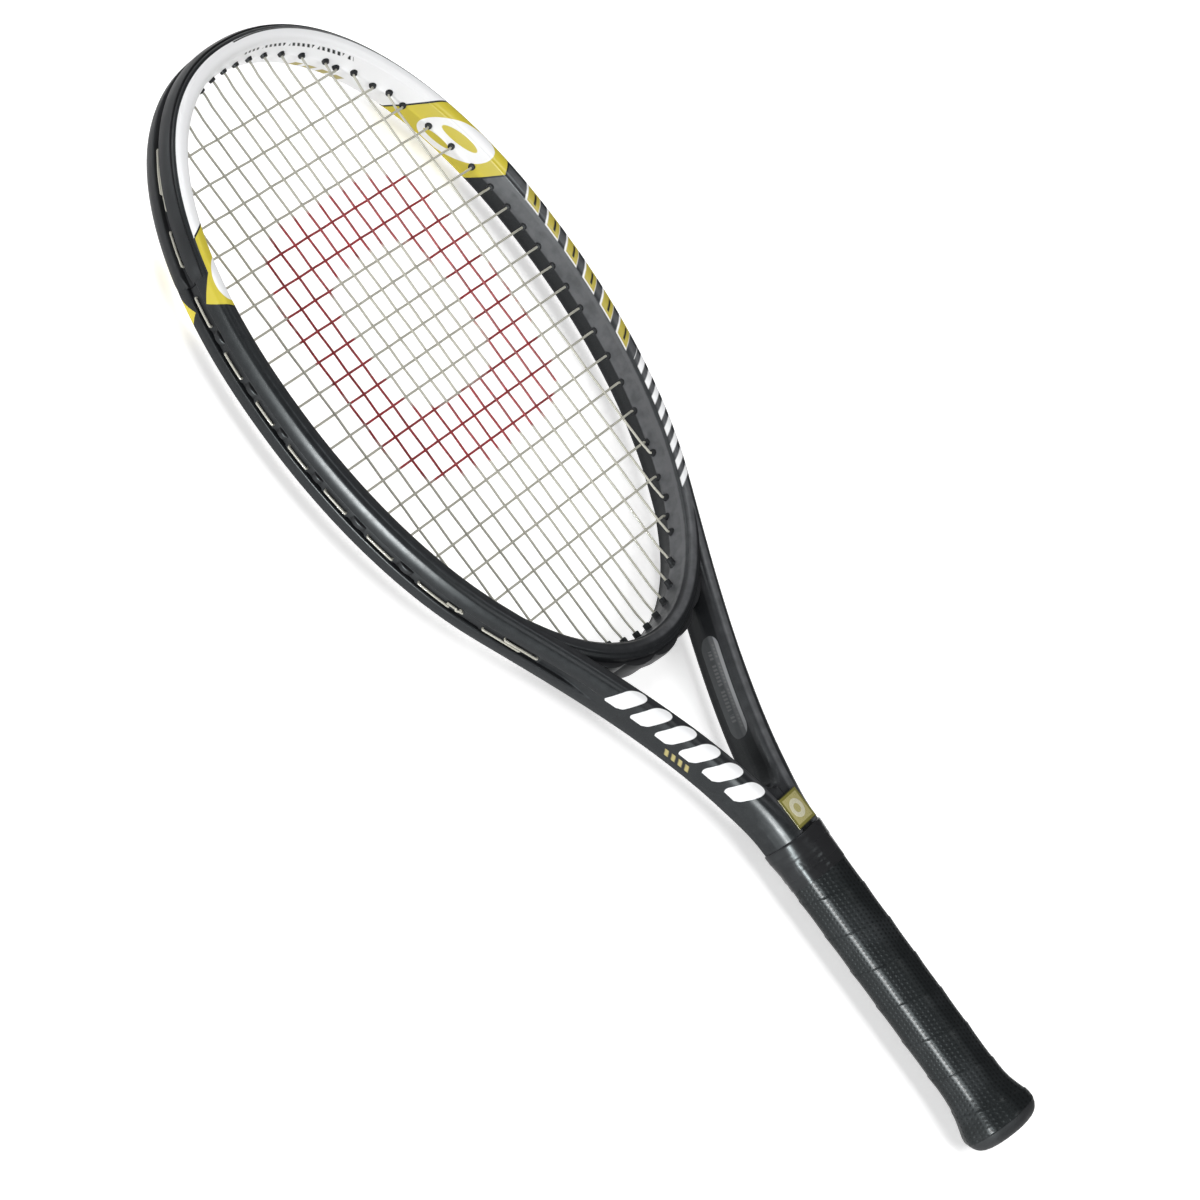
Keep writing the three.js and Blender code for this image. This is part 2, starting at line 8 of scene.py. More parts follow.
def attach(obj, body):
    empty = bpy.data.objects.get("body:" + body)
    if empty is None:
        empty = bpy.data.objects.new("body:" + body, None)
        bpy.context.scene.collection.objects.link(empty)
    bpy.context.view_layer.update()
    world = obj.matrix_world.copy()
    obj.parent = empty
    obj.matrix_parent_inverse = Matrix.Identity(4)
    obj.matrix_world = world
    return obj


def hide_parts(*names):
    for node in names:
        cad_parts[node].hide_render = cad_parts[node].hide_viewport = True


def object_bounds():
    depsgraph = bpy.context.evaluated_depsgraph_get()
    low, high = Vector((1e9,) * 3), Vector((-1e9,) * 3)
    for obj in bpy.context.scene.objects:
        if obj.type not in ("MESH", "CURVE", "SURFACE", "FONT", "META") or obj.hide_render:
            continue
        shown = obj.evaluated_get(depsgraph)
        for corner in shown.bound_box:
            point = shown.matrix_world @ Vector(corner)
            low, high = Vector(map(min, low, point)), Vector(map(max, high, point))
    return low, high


# A strung tennis racket with an oversize head, lying flat. Measures are in millimetres, with x
# along the racket from the butt (0) to the tip, y towards its left side and z up from the
# string plane. placed() turns them into the frame's metres.

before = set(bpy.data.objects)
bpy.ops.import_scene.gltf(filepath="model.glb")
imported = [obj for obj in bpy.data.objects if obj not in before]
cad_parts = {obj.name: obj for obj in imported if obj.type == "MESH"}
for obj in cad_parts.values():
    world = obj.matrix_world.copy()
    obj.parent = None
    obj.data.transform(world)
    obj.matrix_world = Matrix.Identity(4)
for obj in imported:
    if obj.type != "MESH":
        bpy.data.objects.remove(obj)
cad_lo, cad_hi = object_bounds()

BUTT_X = cad_hi.x * 1000
LEVEL = (cad_lo.z + cad_hi.z) * 500

# The centre line of the head, and where the shafts and the bridge join it
HEAD_CENTRE = 515
HEAD_HALF_WIDTH = 131
HEAD_TO_TIP = 175.7
HEAD_TO_THROAT = 199
TIP_FULLNESS = 2.2
SHAFT_JOIN = 378
BRIDGE_END = 369

# The legs in the handle, and the shoulder above which they take their full size
LEG_END = 12
LEG_OFFSET = 8.6
LEG_SHRINK = 0.62
SHOULDER = 195

# Strings: loops lie outside the beam, and a string turns from its run just inside the barrel
STRING_RADIUS = 0.65
STRING_LEVEL = 0.8
MAIN_COUNT = 16
CROSS_COUNT = 20
LOOP_DEPTH = 5.8
STRING_TURN = 8.75

# Grommets: how far a barrel reaches inwards and its base outwards, and where the strips end
BARREL_REACH = 7.85
BASE_TOP = 4.5
BUMPER_END = 597
STRIP_START = 353.3


# ---------- small tools ----------

def placed(points):
    points = np.asarray(points, float)
    return np.stack(
        [BUTT_X - points[..., 0], -points[..., 1], points[..., 2] + LEVEL], axis=-1
    ) / 1000


def smooth(value, low, high):
    share = np.clip((np.asarray(value, float) - low) / (high - low), 0, 1)
    return share * share * (3 - 2 * share)


def unit(vectors):
    return vectors / np.linalg.norm(vectors, axis=-1, keepdims=True)


class Path:
    """A plane curve with even stations: points, outward normals and arc length."""

    def __init__(self, points, spacing):
        points = np.asarray(points, float)
        steps = np.linalg.norm(np.diff(points, axis=0), axis=1)
        along = np.concatenate([[0], np.cumsum(steps)])
        self.s = np.linspace(0, along[-1], int(along[-1] / spacing) + 2)
        self.p = np.column_stack([np.interp(self.s, along, points[:, i]) for i in (0, 1)])
        tangent = unit(np.gradient(self.p, self.s, axis=0))
        self.n = np.column_stack([-tangent[:, 1], tangent[:, 0]])

    def at(self, s):
        point = np.column_stack([np.interp(s, self.s, self.p[:, i]) for i in (0, 1)])
        normal = np.column_stack([np.interp(s, self.s, self.n[:, i]) for i in (0, 1)])
        return point, unit(normal)

    def nearest(self, point):
        return self.s[np.argmin(np.linalg.norm(self.p - np.asarray(point), axis=1))]

    def offset(self, distance):
        return self.p + self.n * distance


def head_points(start, end, count=1500):
    angle = np.linspace(start, end, count)
    along, across = np.sin(angle), np.cos(angle)
    power = np.where(along > 0, 2 / TIP_FULLNESS, 1)
    reach = np.where(along > 0, HEAD_TO_TIP, HEAD_TO_THROAT)
    return np.column_stack([
        HEAD_CENTRE + reach * np.sign(along) * np.abs(along) ** power,
        HEAD_HALF_WIDTH * np.sign(across) * np.abs(across) ** power,
    ])


def bezier(a, b, c, d, count=400):
    t = np.linspace(0, 1, count)[:, None]
    a, b, c, d = (np.array(p, float) for p in (a, b, c, d))
    return a * (1 - t) ** 3 + 3 * b * t * (1 - t) ** 2 + 3 * c * t * t * (1 - t) + d * t ** 3


def fillet(points, radius, steps=4):
    """A closed outline with rounded corners; each corner is a small parabola."""
    points = np.asarray(points, float)
    radii = np.broadcast_to(radius, len(points))
    out = []
    for i, p in enumerate(points):
        a = points[i - 1] - p
        b = points[(i + 1) % len(points)] - p
        la, lb = np.linalg.norm(a), np.linalg.norm(b)
        reach = min(radii[i], 0.48 * la, 0.48 * lb)
        for w in np.linspace(0, 1, steps + 1):
            out.append(p + a / la * reach * (1 - w) ** 2 + b / lb * reach * w * w)
    return np.array(out)


def symmetric(half):
    """Closes the upper half of a section, given from its outward side to its inward side."""
    half = [tuple(p) for p in half]
    return np.array(half + [(u, -v) for u, v in reversed(half)], float)


# ---------- meshes: a part is (vertices, faces, one uv per face corner) ----------

def skin(rings, s, t, joined=False):
    """A closed tube through rings of equal length, capped at both ends or with its last ring
    joined to its first. s runs along it and t round it."""
    m, k = rings.shape[:2]
    i, j = np.meshgrid(np.arange(m if joined else m - 1), np.arange(k), indexing="ij")
    i, j = i.ravel(), j.ravel()
    far, n = (i + 1) % m, (j + 1) % k
    faces = [tuple(f) for f in np.column_stack([
        i * k + j, i * k + n, far * k + n, far * k + j,
    ]).tolist()]
    uv = np.stack([
        np.column_stack([s[i], t[j]]), np.column_stack([s[i], t[j + 1]]),
        np.column_stack([s[i + 1], t[j + 1]]), np.column_stack([s[i + 1], t[j]]),
    ], axis=1).reshape(-1, 2)
    if not joined:
        faces.append(tuple(range(k - 1, -1, -1)))
        faces.append(tuple((m - 1) * k + c for c in range(k)))
        first = np.column_stack([np.full(k, s[0]), t[:k][::-1]])
        last = np.column_stack([np.full(k, s[-1]), t[:k]])
        uv = np.concatenate([uv, first, last])
    return rings.reshape(-1, 3), faces, uv


def around(section):
    """How far each point of a closed section is along its edge, with the closing length."""
    closed = np.vstack([section, section[:1]])
    return np.concatenate([[0], np.cumsum(np.linalg.norm(np.diff(closed, axis=0), axis=1))])


def sweep(
    path, section, start=None, end=None, reshape=None, s_zero=0, t_zero=0, level=0, extra=()
):
    """Carries a section (outward, up) along part of a path, with extra stations where asked."""
    start = path.s[0] if start is None else start
    end = path.s[-1] if end is None else end
    inner = np.union1d(path.s, extra)
    inner = inner[(inner > start + 0.2) & (inner < end - 0.2)]
    s = np.concatenate([[start], inner, [end]])
    point, normal = path.at(s)
    u = np.broadcast_to(section[:, 0], (len(s), len(section)))
    v = np.broadcast_to(section[:, 1], (len(s), len(section)))
    if reshape:
        u, v = reshape(u, v, s[:, None], point[:, :1])
    rings = np.stack([
        point[:, :1] + normal[:, :1] * u, point[:, 1:] + normal[:, 1:] * u, v + level,
    ], axis=-1)
    return skin(rings, s - s_zero, around(section) - t_zero)


def tube(points, radius, sides=8):
    """A round tube along a line of points."""
    points = np.asarray(points, float)
    tangent = unit(np.gradient(points, axis=0))
    side = np.zeros_like(points)
    side[0] = np.cross(tangent[0], (0.02, 0.01, 1))
    for i in range(1, len(points)):
        side[i] = side[i - 1] - tangent[i] * (side[i - 1] @ tangent[i])
        side[i] /= np.linalg.norm(side[i])
    side[0] = unit(side[0])
    up = np.cross(tangent, side)
    angle = np.arange(sides) * 2 * math.pi / sides
    radius = np.broadcast_to(radius, len(points))[:, None, None]
    rings = points[:, None] + radius * (
        side[:, None] * np.cos(angle)[None, :, None] + up[:, None] * np.sin(angle)[None, :, None]
    )
    s = np.concatenate([[0], np.cumsum(np.linalg.norm(np.diff(points, axis=0), axis=1))])
    return skin(rings, s, np.linspace(0, 2 * math.pi, sides + 1))


def lathe(profile, sides=64):
    """A body of revolution about the handle's axis. Profile points are (radius, along)."""
    profile = np.asarray(profile, float)
    angle = np.arange(sides) * 2 * math.pi / sides
    rings = np.stack([
        np.broadcast_to(profile[:, 1:], (len(profile), sides)),
        -profile[:, :1] * np.sin(angle), profile[:, :1] * np.cos(angle),
    ], axis=-1)
    s = np.concatenate([[0], np.cumsum(np.linalg.norm(np.diff(profile, axis=0), axis=1))])
    return skin(rings, s, np.linspace(0, 2 * math.pi, sides + 1))


def rounded_line(points, reach, steps=4):
    """A line of points with its corners rounded."""
    points = [np.asarray(p, float) for p in points]
    out = [points[0]]
    for last, p, following in zip(points, points[1:], points[2:]):
        a, b = last - p, following - p
        la, lb = np.linalg.norm(a), np.linalg.norm(b)
        r = min(reach, 0.45 * la, 0.45 * lb)
        for w in np.linspace(0, 1, steps + 1):
            out.append(p + a / la * r * (1 - w) ** 2 + b / lb * r * w * w)
    out.append(points[-1])
    return np.array(out)


def piece(name, parts, look, node, sharp=38, body="racket"):
    """Joins parts into one object that stands for a node of the frame."""
    vertices, faces, uvs, base = [], [], [], 0
    for v, f, uv in parts:
        vertices.append(v)
        faces += [tuple(base + i for i in face) for face in f]
        uvs.append(uv)
        base += len(v)
    mesh = bpy.data.meshes.new(name)
    mesh.from_pydata(placed(np.concatenate(vertices)).tolist(), [], faces)
    layer = mesh.uv_layers.new(name="along_around")
    layer.data.foreach_set("uv", np.concatenate(uvs).astype(np.float32).ravel())
    mesh.polygons.foreach_set("use_smooth", [True] * len(mesh.polygons))
    mesh.set_sharp_from_angle(angle=math.radians(sharp))
    mesh.materials.append(look)
    obj = bpy.data.objects.new(name, mesh)
    bpy.context.scene.collection.objects.link(obj)
    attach(obj, body)
    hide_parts(node)
    return obj


# ---------- materials ----------

class Field:
    """A number that varies over a surface. Arithmetic on it adds nodes to its material."""

    def __init__(self, look, socket):
        self.look = look
        self.socket = socket

    def __add__(self, other):
        return self.look.math("ADD", self, other)

    def __sub__(self, other):
        return self.look.math("SUBTRACT", self, other)

    def __rsub__(self, other):
        return self.look.math("SUBTRACT", other, self)

    def __mul__(self, other):
        return self.look.math("MULTIPLY", self, other)

    def __truediv__(self, other):
        return self.look.math("DIVIDE", self, other)

    def __mod__(self, other):
        return self.look.math("FLOORED_MODULO", self, other)

    def __abs__(self):
        return self.look.math("ABSOLUTE", self)

    __radd__ = __add__
    __rmul__ = __mul__

    def below(self, edge, soft=0.15):
        """1 where the field is below the edge, with a soft step."""
        return self.look.math("MULTIPLY_ADD", edge - self, 1 / soft, 0.5, clamp=True)

    def above(self, edge, soft=0.15):
        return self.look.math("MULTIPLY_ADD", self - edge, 1 / soft, 0.5, clamp=True)

    def within(self, low, high, soft=0.15):
        return self.above(low, soft) * self.below(high, soft)


class Look:
    """A material with one Principled shader, and the fields that drive it."""

    def __init__(self, name, **shader):
        self.material = bpy.data.materials.new(name)
        self.material.use_nodes = True
        self.tree = self.material.node_tree
        self.shader = next(n for n in self.tree.nodes if n.type == "BSDF_PRINCIPLED")
        for key, value in shader.items():
            self.shader.inputs[key.replace("_", " ")].default_value = value

    def node(self, kind, **settings):
        node = self.tree.nodes.new(kind)
        for key, value in settings.items():
            setattr(node, key, value)
        return node

    def feed(self, socket, value):
        if isinstance(value, Field):
            self.tree.links.new(value.socket, socket)
        elif isinstance(value, tuple) and len(value) == 3 and socket.type == "RGBA":
            socket.default_value = (*value, 1)
        else:
            socket.default_value = value

    def math(self, operation, *values, clamp=False):
        node = self.node("ShaderNodeMath", operation=operation, use_clamp=clamp)
        for socket, value in zip(node.inputs, values):
            self.feed(socket, value)
        return Field(self, node.outputs[0])

    def larger(self, a, b):
        return self.math("MAXIMUM", a, b)

    def smaller(self, a, b):
        return self.math("MINIMUM", a, b)

    def length(self, a, b):
        return self.math("SQRT", a * a + b * b)

    def squarish(self, a, b):
        """Like length, for a square with well rounded corners."""
        a, b = a * a, b * b
        return self.math("POWER", a * a + b * b, 0.25)

    def split(self, socket):
        node = self.node("ShaderNodeSeparateXYZ")
        self.tree.links.new(socket, node.inputs[0])
        return [Field(self, out) for out in node.outputs]

    def uv(self):
        """Millimetres along a piece and round it, the upper side positive on a beam."""
        along, across, _ = self.split(
            self.node("ShaderNodeUVMap", uv_map="along_around").outputs[0]
        )
        return along, 0.0 - across

    def place(self):
        """Racket measures in millimetres, as in the geometry above."""
        x, y, z = self.split(self.node("ShaderNodeTexCoord").outputs["Object"])
        return BUTT_X - x * 1000, y * -1000, z * 1000 - LEVEL

    def vector(self, x, y, z=0.0):
        node = self.node("ShaderNodeCombineXYZ")
        for socket, value in zip(node.inputs, (x, y, z)):
            self.feed(socket, value)
        return Field(self, node.outputs[0])

    def noise(self, scale, detail=2.0, roughness=0.5, at=None):
        """Values about 0.5. The scale is in cycles per metre, or per unit of the given vector."""
        node = self.node("ShaderNodeTexNoise")
        node.inputs["Scale"].default_value = scale
        node.inputs["Detail"].default_value = detail
        node.inputs["Roughness"].default_value = roughness
        where = at or Field(self, self.node("ShaderNodeTexCoord").outputs["Object"])
        self.tree.links.new(where.socket, node.inputs["Vector"])
        return Field(self, node.outputs[0])

    def mix(self, share, low, high):
        node = self.node("ShaderNodeMix", data_type="RGBA")
        self.feed(node.inputs["Factor"], share)
        self.feed(node.inputs[6], low)
        self.feed(node.inputs[7], high)
        return Field(self, node.outputs[2])

    def mix_number(self, share, low, high):
        return low + (high - low) * share

    def ramp(self, value, low, high, to_low, to_high):
        node = self.node("ShaderNodeMapRange")
        for socket, number in zip(node.inputs, (value, low, high, to_low, to_high)):
            self.feed(socket, number)
        return Field(self, node.outputs[0])

    def color(self, value):
        self.feed(self.shader.inputs["Base Color"], value)

    def roughness(self, value):
        self.feed(self.shader.inputs["Roughness"], value)

    def relief(self, height, depth):
        """Bump with the height field's depth in millimetres."""
        node = self.node("ShaderNodeBump")
        node.inputs["Distance"].default_value = depth / 1000
        self.feed(node.inputs["Height"], height)
        self.tree.links.new(node.outputs[0], self.shader.inputs["Normal"])


WHITE = (0.82, 0.825, 0.835)
YELLOW = (0.56, 0.47, 0.045)
OLIVE = (0.42, 0.35, 0.06)
GOLD = (0.42, 0.36, 0.14)
INK = (0.012, 0.012, 0.013)
COOL = (0.88, 0.98, 1, 1)


# ---------- the frame's paths ----------

join_angle = math.asin((HEAD_CENTRE - SHAFT_JOIN) / HEAD_TO_THROAT)
hoop = head_points(-join_angle, math.pi + join_angle, 3000)
join_slope = unit(hoop[1] - hoop[0])
shaft = bezier(
    (SHOULDER, LEG_OFFSET), (SHOULDER + 55, LEG_OFFSET), hoop[0] - 44 * join_slope, hoop[0]
)
half_leg = np.vstack([[(LEG_END, LEG_OFFSET)], shaft])
hairpin = Path(np.vstack([half_leg, hoop[1:-1], (half_leg * (1, -1))[::-1]]), 2.5)
TIP_S = hairpin.s[-1] / 2
bridge_angle = math.asin((HEAD_CENTRE - BRIDGE_END) / HEAD_TO_THROAT)
bridge = Path(head_points(bridge_angle - math.pi, -bridge_angle), 2.5)
rim = Path(head_points(-math.pi / 2, math.pi / 2, 4000), 0.5)


def place_at(x, side=1):
    """Arc length along the hairpin where it passes x, on the left (1) or right (-1)."""
    half = hairpin.s <= TIP_S
    s = np.interp(x, hairpin.p[half, 0], hairpin.s[half])
    return s if side > 0 else 2 * TIP_S - s


# ---------- the beam ----------

# Upper halves of the beam's section at the hoop and at the shafts, from the string groove over
# the ridge to the inner wall. Each corner has its own radius.
BEAM_HALF = [
    (3.4, 2.9), (6.25, 3.4), (6.2, 7.6), (4.6, 11.3), (2.9, 12.15), (2.2, 13.1), (1, 13.5),
    (-1.6, 13.5), (-3.2, 12.7), (-4.1, 11.05), (-5, 10.5), (-6.25, 0.7),
]
CORNERS = [0.5, 0.9, 3, 1.6, 0.6, 0.5, 1.2, 1.4, 0.8, 0.6, 0.8, 0.5]
beam_section = fillet(symmetric(BEAM_HALF), CORNERS + CORNERS[::-1])
beam_round = around(beam_section)
BEAM_ZERO = beam_round[len(beam_section) - 1] / 2

SHAFT_HALF = [
    (6.3, 1.2), (6.3, 4.1), (6.1, 8), (4.9, 11.2), (3.6, 12.4), (2.5, 12.95), (1.2, 13.25),
    (-1.3, 13.4), (-2.9, 12.8), (-4.2, 11.6), (-5.2, 9.8), (-6.1, 1.4),
]
shaft_section = fillet(symmetric(SHAFT_HALF), CORNERS + CORNERS[::-1])

# Stretches of x over which the beam changes, and where the two shafts part
GROOVE_FADE = (312, 336)
SECTION_CHANGE = (262, 334)
THROAT_WIDENING = 0.26
WIDENING_FADE = (206, 300)
SHOULDER_STEP = (186.5, 190)
COLLAR_FADE = (192, 228)
CROTCH_X = 219
CROTCH_RADIUS = 13


def beam_shape(u, v, s, x):
    """Towards the handle the groove fades, the section turns plain and the two legs merge."""
    at_groove = (u > 3) & (np.abs(v) < 4.6)
    u = np.where(at_groove, u + (6.25 - u) * (1 - smooth(x, *GROOVE_FADE)), u)
    plain = 1 - smooth(x, *SECTION_CHANGE)
    u = u + (shaft_section[:, 0] - u) * plain
    v = v + (shaft_section[:, 1] - v) * plain
    inward = u < -3.9
    widening = 1 + THROAT_WIDENING - THROAT_WIDENING * smooth(x, *WIDENING_FADE)
    shoulder = smooth(x, *SHOULDER_STEP)
    collar = 1 - smooth(x, *COLLAR_FADE)
    corner = np.clip(u / 6.3, 0, 1) * np.abs(v) / 13.3
    across = np.where(u > 0, widening, 1) * (1 - 0.2 * corner * collar)
    u = u * (LEG_SHRINK + (across - LEG_SHRINK) * np.where(u > 0, shoulder, 1))
    v = v * (1 - 0.2 * corner * collar) * (1 + 0.05 * collar)
    leg = np.interp(x, shaft[:, 0], shaft[:, 1])
    bottom = CROTCH_X - 5 * (np.abs(v) / 13) ** 2
    depth = np.clip((x - bottom) / CROTCH_RADIUS, 0, 1)
    opening = np.sqrt(1 - (1 - depth) ** 2)
    merged = inward & (x < CROTCH_X + CROTCH_RADIUS)
    v = np.where(merged, v * (1 + 0.07 * (1 - opening) ** 2 * smooth(np.abs(v), 7, 12)), v)
    u = np.where(merged, -leg + (u + leg) * opening, u)
    return u, v * (LEG_SHRINK + (1 - LEG_SHRINK) * shoulder)


def bridge_shape(u, v, s, x):
    """The bridge's two ends sink a little into the hoop that they grow out of."""
    share = np.minimum(s - bridge.s[0], bridge.s[-1] - s) / 16
    size = 0.965 + 0.035 * smooth(share, 0, 1)
    return u * size, v * size


# ---------- string places ----------

BRIDGE_REACH = 60


def main_offset(k):
    """How far the kth space between mains is from the middle; spaces grow outwards."""
    return 10.9 * k + 0.226 * k * k


def cross_place(k):
    """Where the kth cross from the middle is, with wider spaces towards both ends."""
    return 512.6 + 12.8 * k - 0.035 * k * k + 0.15 * k * abs(k) + 0.0125 * k ** 3


MAIN_YS = [
    math.copysign(main_offset(abs(i - 7.5)), 7.5 - i) for i in range(MAIN_COUNT)
]
CROSS_XS = [cross_place(9.5 - i) for i in range(CROSS_COUNT)]
turn_line = rim.offset(-STRING_TURN)
throat_part = rim.p[:, 0] < HEAD_CENTRE
tip_part = ~throat_part


def square_hole(s, level, side):
    """A hole drilled square to the beam behind it, through the rim at arc length s."""
    point, normal = (a[0] for a in rim.at([s]))
    mouth = point - normal * BARREL_REACH
    back_point, back_normal = (a[0] for a in hairpin.at([hairpin.nearest(mouth)]))
    reach = (back_point - mouth) @ back_normal
    flip = np.array([1, side])
    return {
        "turn": (*((point - normal * STRING_TURN) * flip), level),
        "mouth": (*(mouth * flip), level),
        "base": (*((mouth + back_normal * (reach + BASE_TOP)) * flip), level),
        "loop": (*((mouth + back_normal * (reach + LOOP_DEPTH)) * flip), level),
    }


def bridge_hole(y, level):
    """A hole through the bridge, straight along the string."""
    def edge(offset):
        line = bridge.offset(offset)
        return np.interp(y, line[:, 1], line[:, 0])
    return {
        "turn": (edge(-BARREL_REACH) + 0.9, y, level),
        "mouth": (edge(-BARREL_REACH), y, level),
        "base": (edge(BASE_TOP), y, level),
        "loop": (edge(LOOP_DEPTH), y, level),
    }


def main_holes(y):
    side = math.copysign(1, y)
    top = np.interp(-abs(y), -turn_line[tip_part, 1], rim.s[tip_part])
    bottom = np.interp(abs(y), turn_line[throat_part, 1], rim.s[throat_part])
    through_bridge = abs(y) < BRIDGE_REACH
    return {
        "top": square_hole(top, STRING_LEVEL, side),
        "bottom": bridge_hole(y, STRING_LEVEL) if through_bridge
        else square_hole(bottom, STRING_LEVEL, side),
        "through_bridge": through_bridge,
        "corner": BRIDGE_REACH < abs(y) < 70,
    }


def cross_holes(x):
    s = np.interp(x, turn_line[:, 0], rim.s)
    return {"left": square_hole(s, -STRING_LEVEL, 1), "right": square_hole(s, -STRING_LEVEL, -1)}


mains = [main_holes(y) for y in MAIN_YS]
crosses = [cross_holes(x) for x in CROSS_XS]


def at_tip(hole):
    return hole["mouth"][0] > BUMPER_END - 4


def side_holes(side):
    ends = [c["left" if side > 0 else "right"] for c in crosses]
    low = [m["bottom"] for m in mains if not m["through_bridge"] and not m["corner"]]
    return [h for h in ends + low if not at_tip(h) and h["mouth"][1] * side > 0]


tip_holes = [m["top"] for m in mains] + [
    c[end] for c in crosses for end in ("left", "right") if at_tip(c[end])
]
throat_holes = [m["bottom"] for m in mains if m["through_bridge"]]
corner_holes = [m["bottom"] for m in mains if m["corner"]]


# ---------- strings ----------

# How far the strings swing off the string plane where they cross
WEAVE_MAIN = 0.12
WEAVE_CROSS = 0.78


def string_run(start, end, axis, crossings, number, depth, level):
    """A string from one barrel to the opposite one, over and under the strings it meets."""
    start, end = np.array(start), np.array(end)
    count = int(np.linalg.norm(end - start) / 1.6)
    points = start + (end - start) * np.linspace(0, 1, count)[:, None]
    order = np.argsort(crossings)
    phase = np.interp(points[:, axis], np.array(crossings)[order], order)
    wave = depth * np.cos(math.pi * (phase + number))
    ends = np.minimum(*(np.abs(points[:, axis] - p[axis]) for p in (start, end)))
    share = smooth(ends, 0, 9)
    points[:, 2] = wave * share + level * (1 - share)
    return list(points)


def loop_between(path, a, b):
    """The middle of the string outside the frame, between two holes."""
    middle = (np.array(a["loop"]) + np.array(b["loop"])) / 2
    point, normal = path.at([path.nearest(middle[:2])])
    return (*(point[0] + normal[0] * LOOP_DEPTH), middle[2])


def string_line(holes, ends, axis, crossings, depth, level, outside):
    """One string laced up and down through all its holes."""
    points = []
    for i, hole in enumerate(holes):
        low, high = (hole[e] for e in (ends if i % 2 == 0 else ends[::-1]))
        points += [low["loop"], low["base"]]
        points += string_run(low["turn"], high["turn"], axis, crossings, i, depth, level)
        points += [high["base"], high["loop"]]
        if i < len(holes) - 1:
            end = ends[1] if i % 2 == 0 else ends[0]
            points.append(loop_between(outside(hole, end), hole[end], holes[i + 1][end]))
    return points


def tied_end(hole, to_tip):
    """The cut end of a string: a flat knot beside its hole, then a short tail in the groove."""
    s = hairpin.nearest(hole["loop"][:2])
    step = np.linspace(0, 9, 60)
    knot = smooth(step, 0.6, 1.4) * (1 - smooth(step, 3, 3.8))
    turn = (step - 0.6) * 2.5
    point, normal = hairpin.at(s + (step + 0.7 * knot * np.sin(2 * turn)) * to_tip)
    u = 5.6 + 0.5 * knot * np.cos(turn * 2)
    v = hole["loop"][2] + 1.1 * knot * np.sin(turn)
    return np.column_stack([point + normal * u[:, None], v])


def main_outside(hole, end):
    return bridge if end == "bottom" and hole["through_bridge"] else hairpin


main_points = string_line(
    mains, ("bottom", "top"), 0, CROSS_XS, WEAVE_MAIN, STRING_LEVEL, main_outside
)
cross_points = string_line(
    crosses, ("right", "left"), 1, MAIN_YS, -WEAVE_CROSS, -STRING_LEVEL, lambda *_: hairpin
)


def string_parts(points, first, last):
    line = rounded_line(points, 1.5, 2)
    return [tube(line, STRING_RADIUS), tube(first, STRING_RADIUS), tube(last, STRING_RADIUS)]


# ---------- looks ----------
# x is along the racket, s along a beam from the tip, and t round it from the middle of its
# inner wall, positive on the upper side.

INNER_WALL = (-1.2, 10.2)
WALL_TO_RIDGE = (8, 12.8)
RIDGE = (12.8, 16.8)


def slanted_bars(x, t, start, end, pitch, share, low, high, lean):
    """A row of bars across the beam from x start down to end, leaning as they rise."""
    along = (x + (t - low) * lean - end) / pitch
    bar = abs(along % 1.0 - 0.5).below(share / 2, 0.8 / pitch)
    return bar * along.within(0.0, (start - end) / pitch, 0.01) * t.within(low, high, 0.4)


def oval(x, t, at, half, lean=0.0):
    """A leaning oval on the beam: at = (x, t), half = its two half sizes."""
    a = (x - at[0] + (t - at[1]) * lean) / half[0]
    b = (t - at[1]) / half[1]
    return (a * a + b * b).below(1.0, 0.4 / min(half))


def edge_line(field, width):
    """A thin line where a field passes through zero."""
    return abs(field).below(width / 2, 0.25)


def right_panel(look, x, t):
    """Yellow panel on the right with a white field, as (yellow, field, line)."""
    start = x + t * 0.64 - 621
    end = x - look.larger(565.5 - t * 0.56, 551 + t * 0.76)
    flat = abs(t).below(18.6)
    yellow = start.below(0.0) * end.above(0.0) * flat
    line = look.larger(edge_line(start, 1.3), edge_line(end, 1.1)) * end.above(-0.9)
    line = look.larger(line * abs(t).below(19.4), edge_line(abs(t) - 18.9, 1.1) * end.above(0.0))
    field = oval(x, t, (590.5, 3.6), (17.5, 14.6), 0.6) * (x + t * 0.6 - 621).below(-9.5)
    ovals = look.larger(
        oval(x, t, (589.5, 6.2), (10.5, 3.6), 1.05), oval(x, t, (597.5, -4.4), (8, 2.4), 0.8)
    )
    return yellow, field * (1 - ovals) * yellow, line


def left_panel(look, x, t):
    """Yellow panel on the left, bitten by a white oval and widening over the outer bevel."""
    outer = abs(t)
    bevel = outer.above(20.6)
    start = 630.5 - outer * 0.64
    start = start + bevel * look.smaller(629.5 - outer * 1.45 - start, 0.0)
    end = look.larger(586 - outer * 0.56, 568.3 + outer * 0.62)
    end = end + bevel * (568.3 + outer * 0.62 - end)
    yellow = (start - x).above(0.0) * (x - end).above(0.0)
    bite = oval(x, outer, (592.5, 13.6), (11.5, 6.2)) * yellow
    line = look.larger(edge_line(x - start, 1.3), edge_line(x - end, 1.1))
    line = line * (x - end).above(-0.9) * (start - x).above(-0.9)
    return yellow, bite, line * (1 - bite)


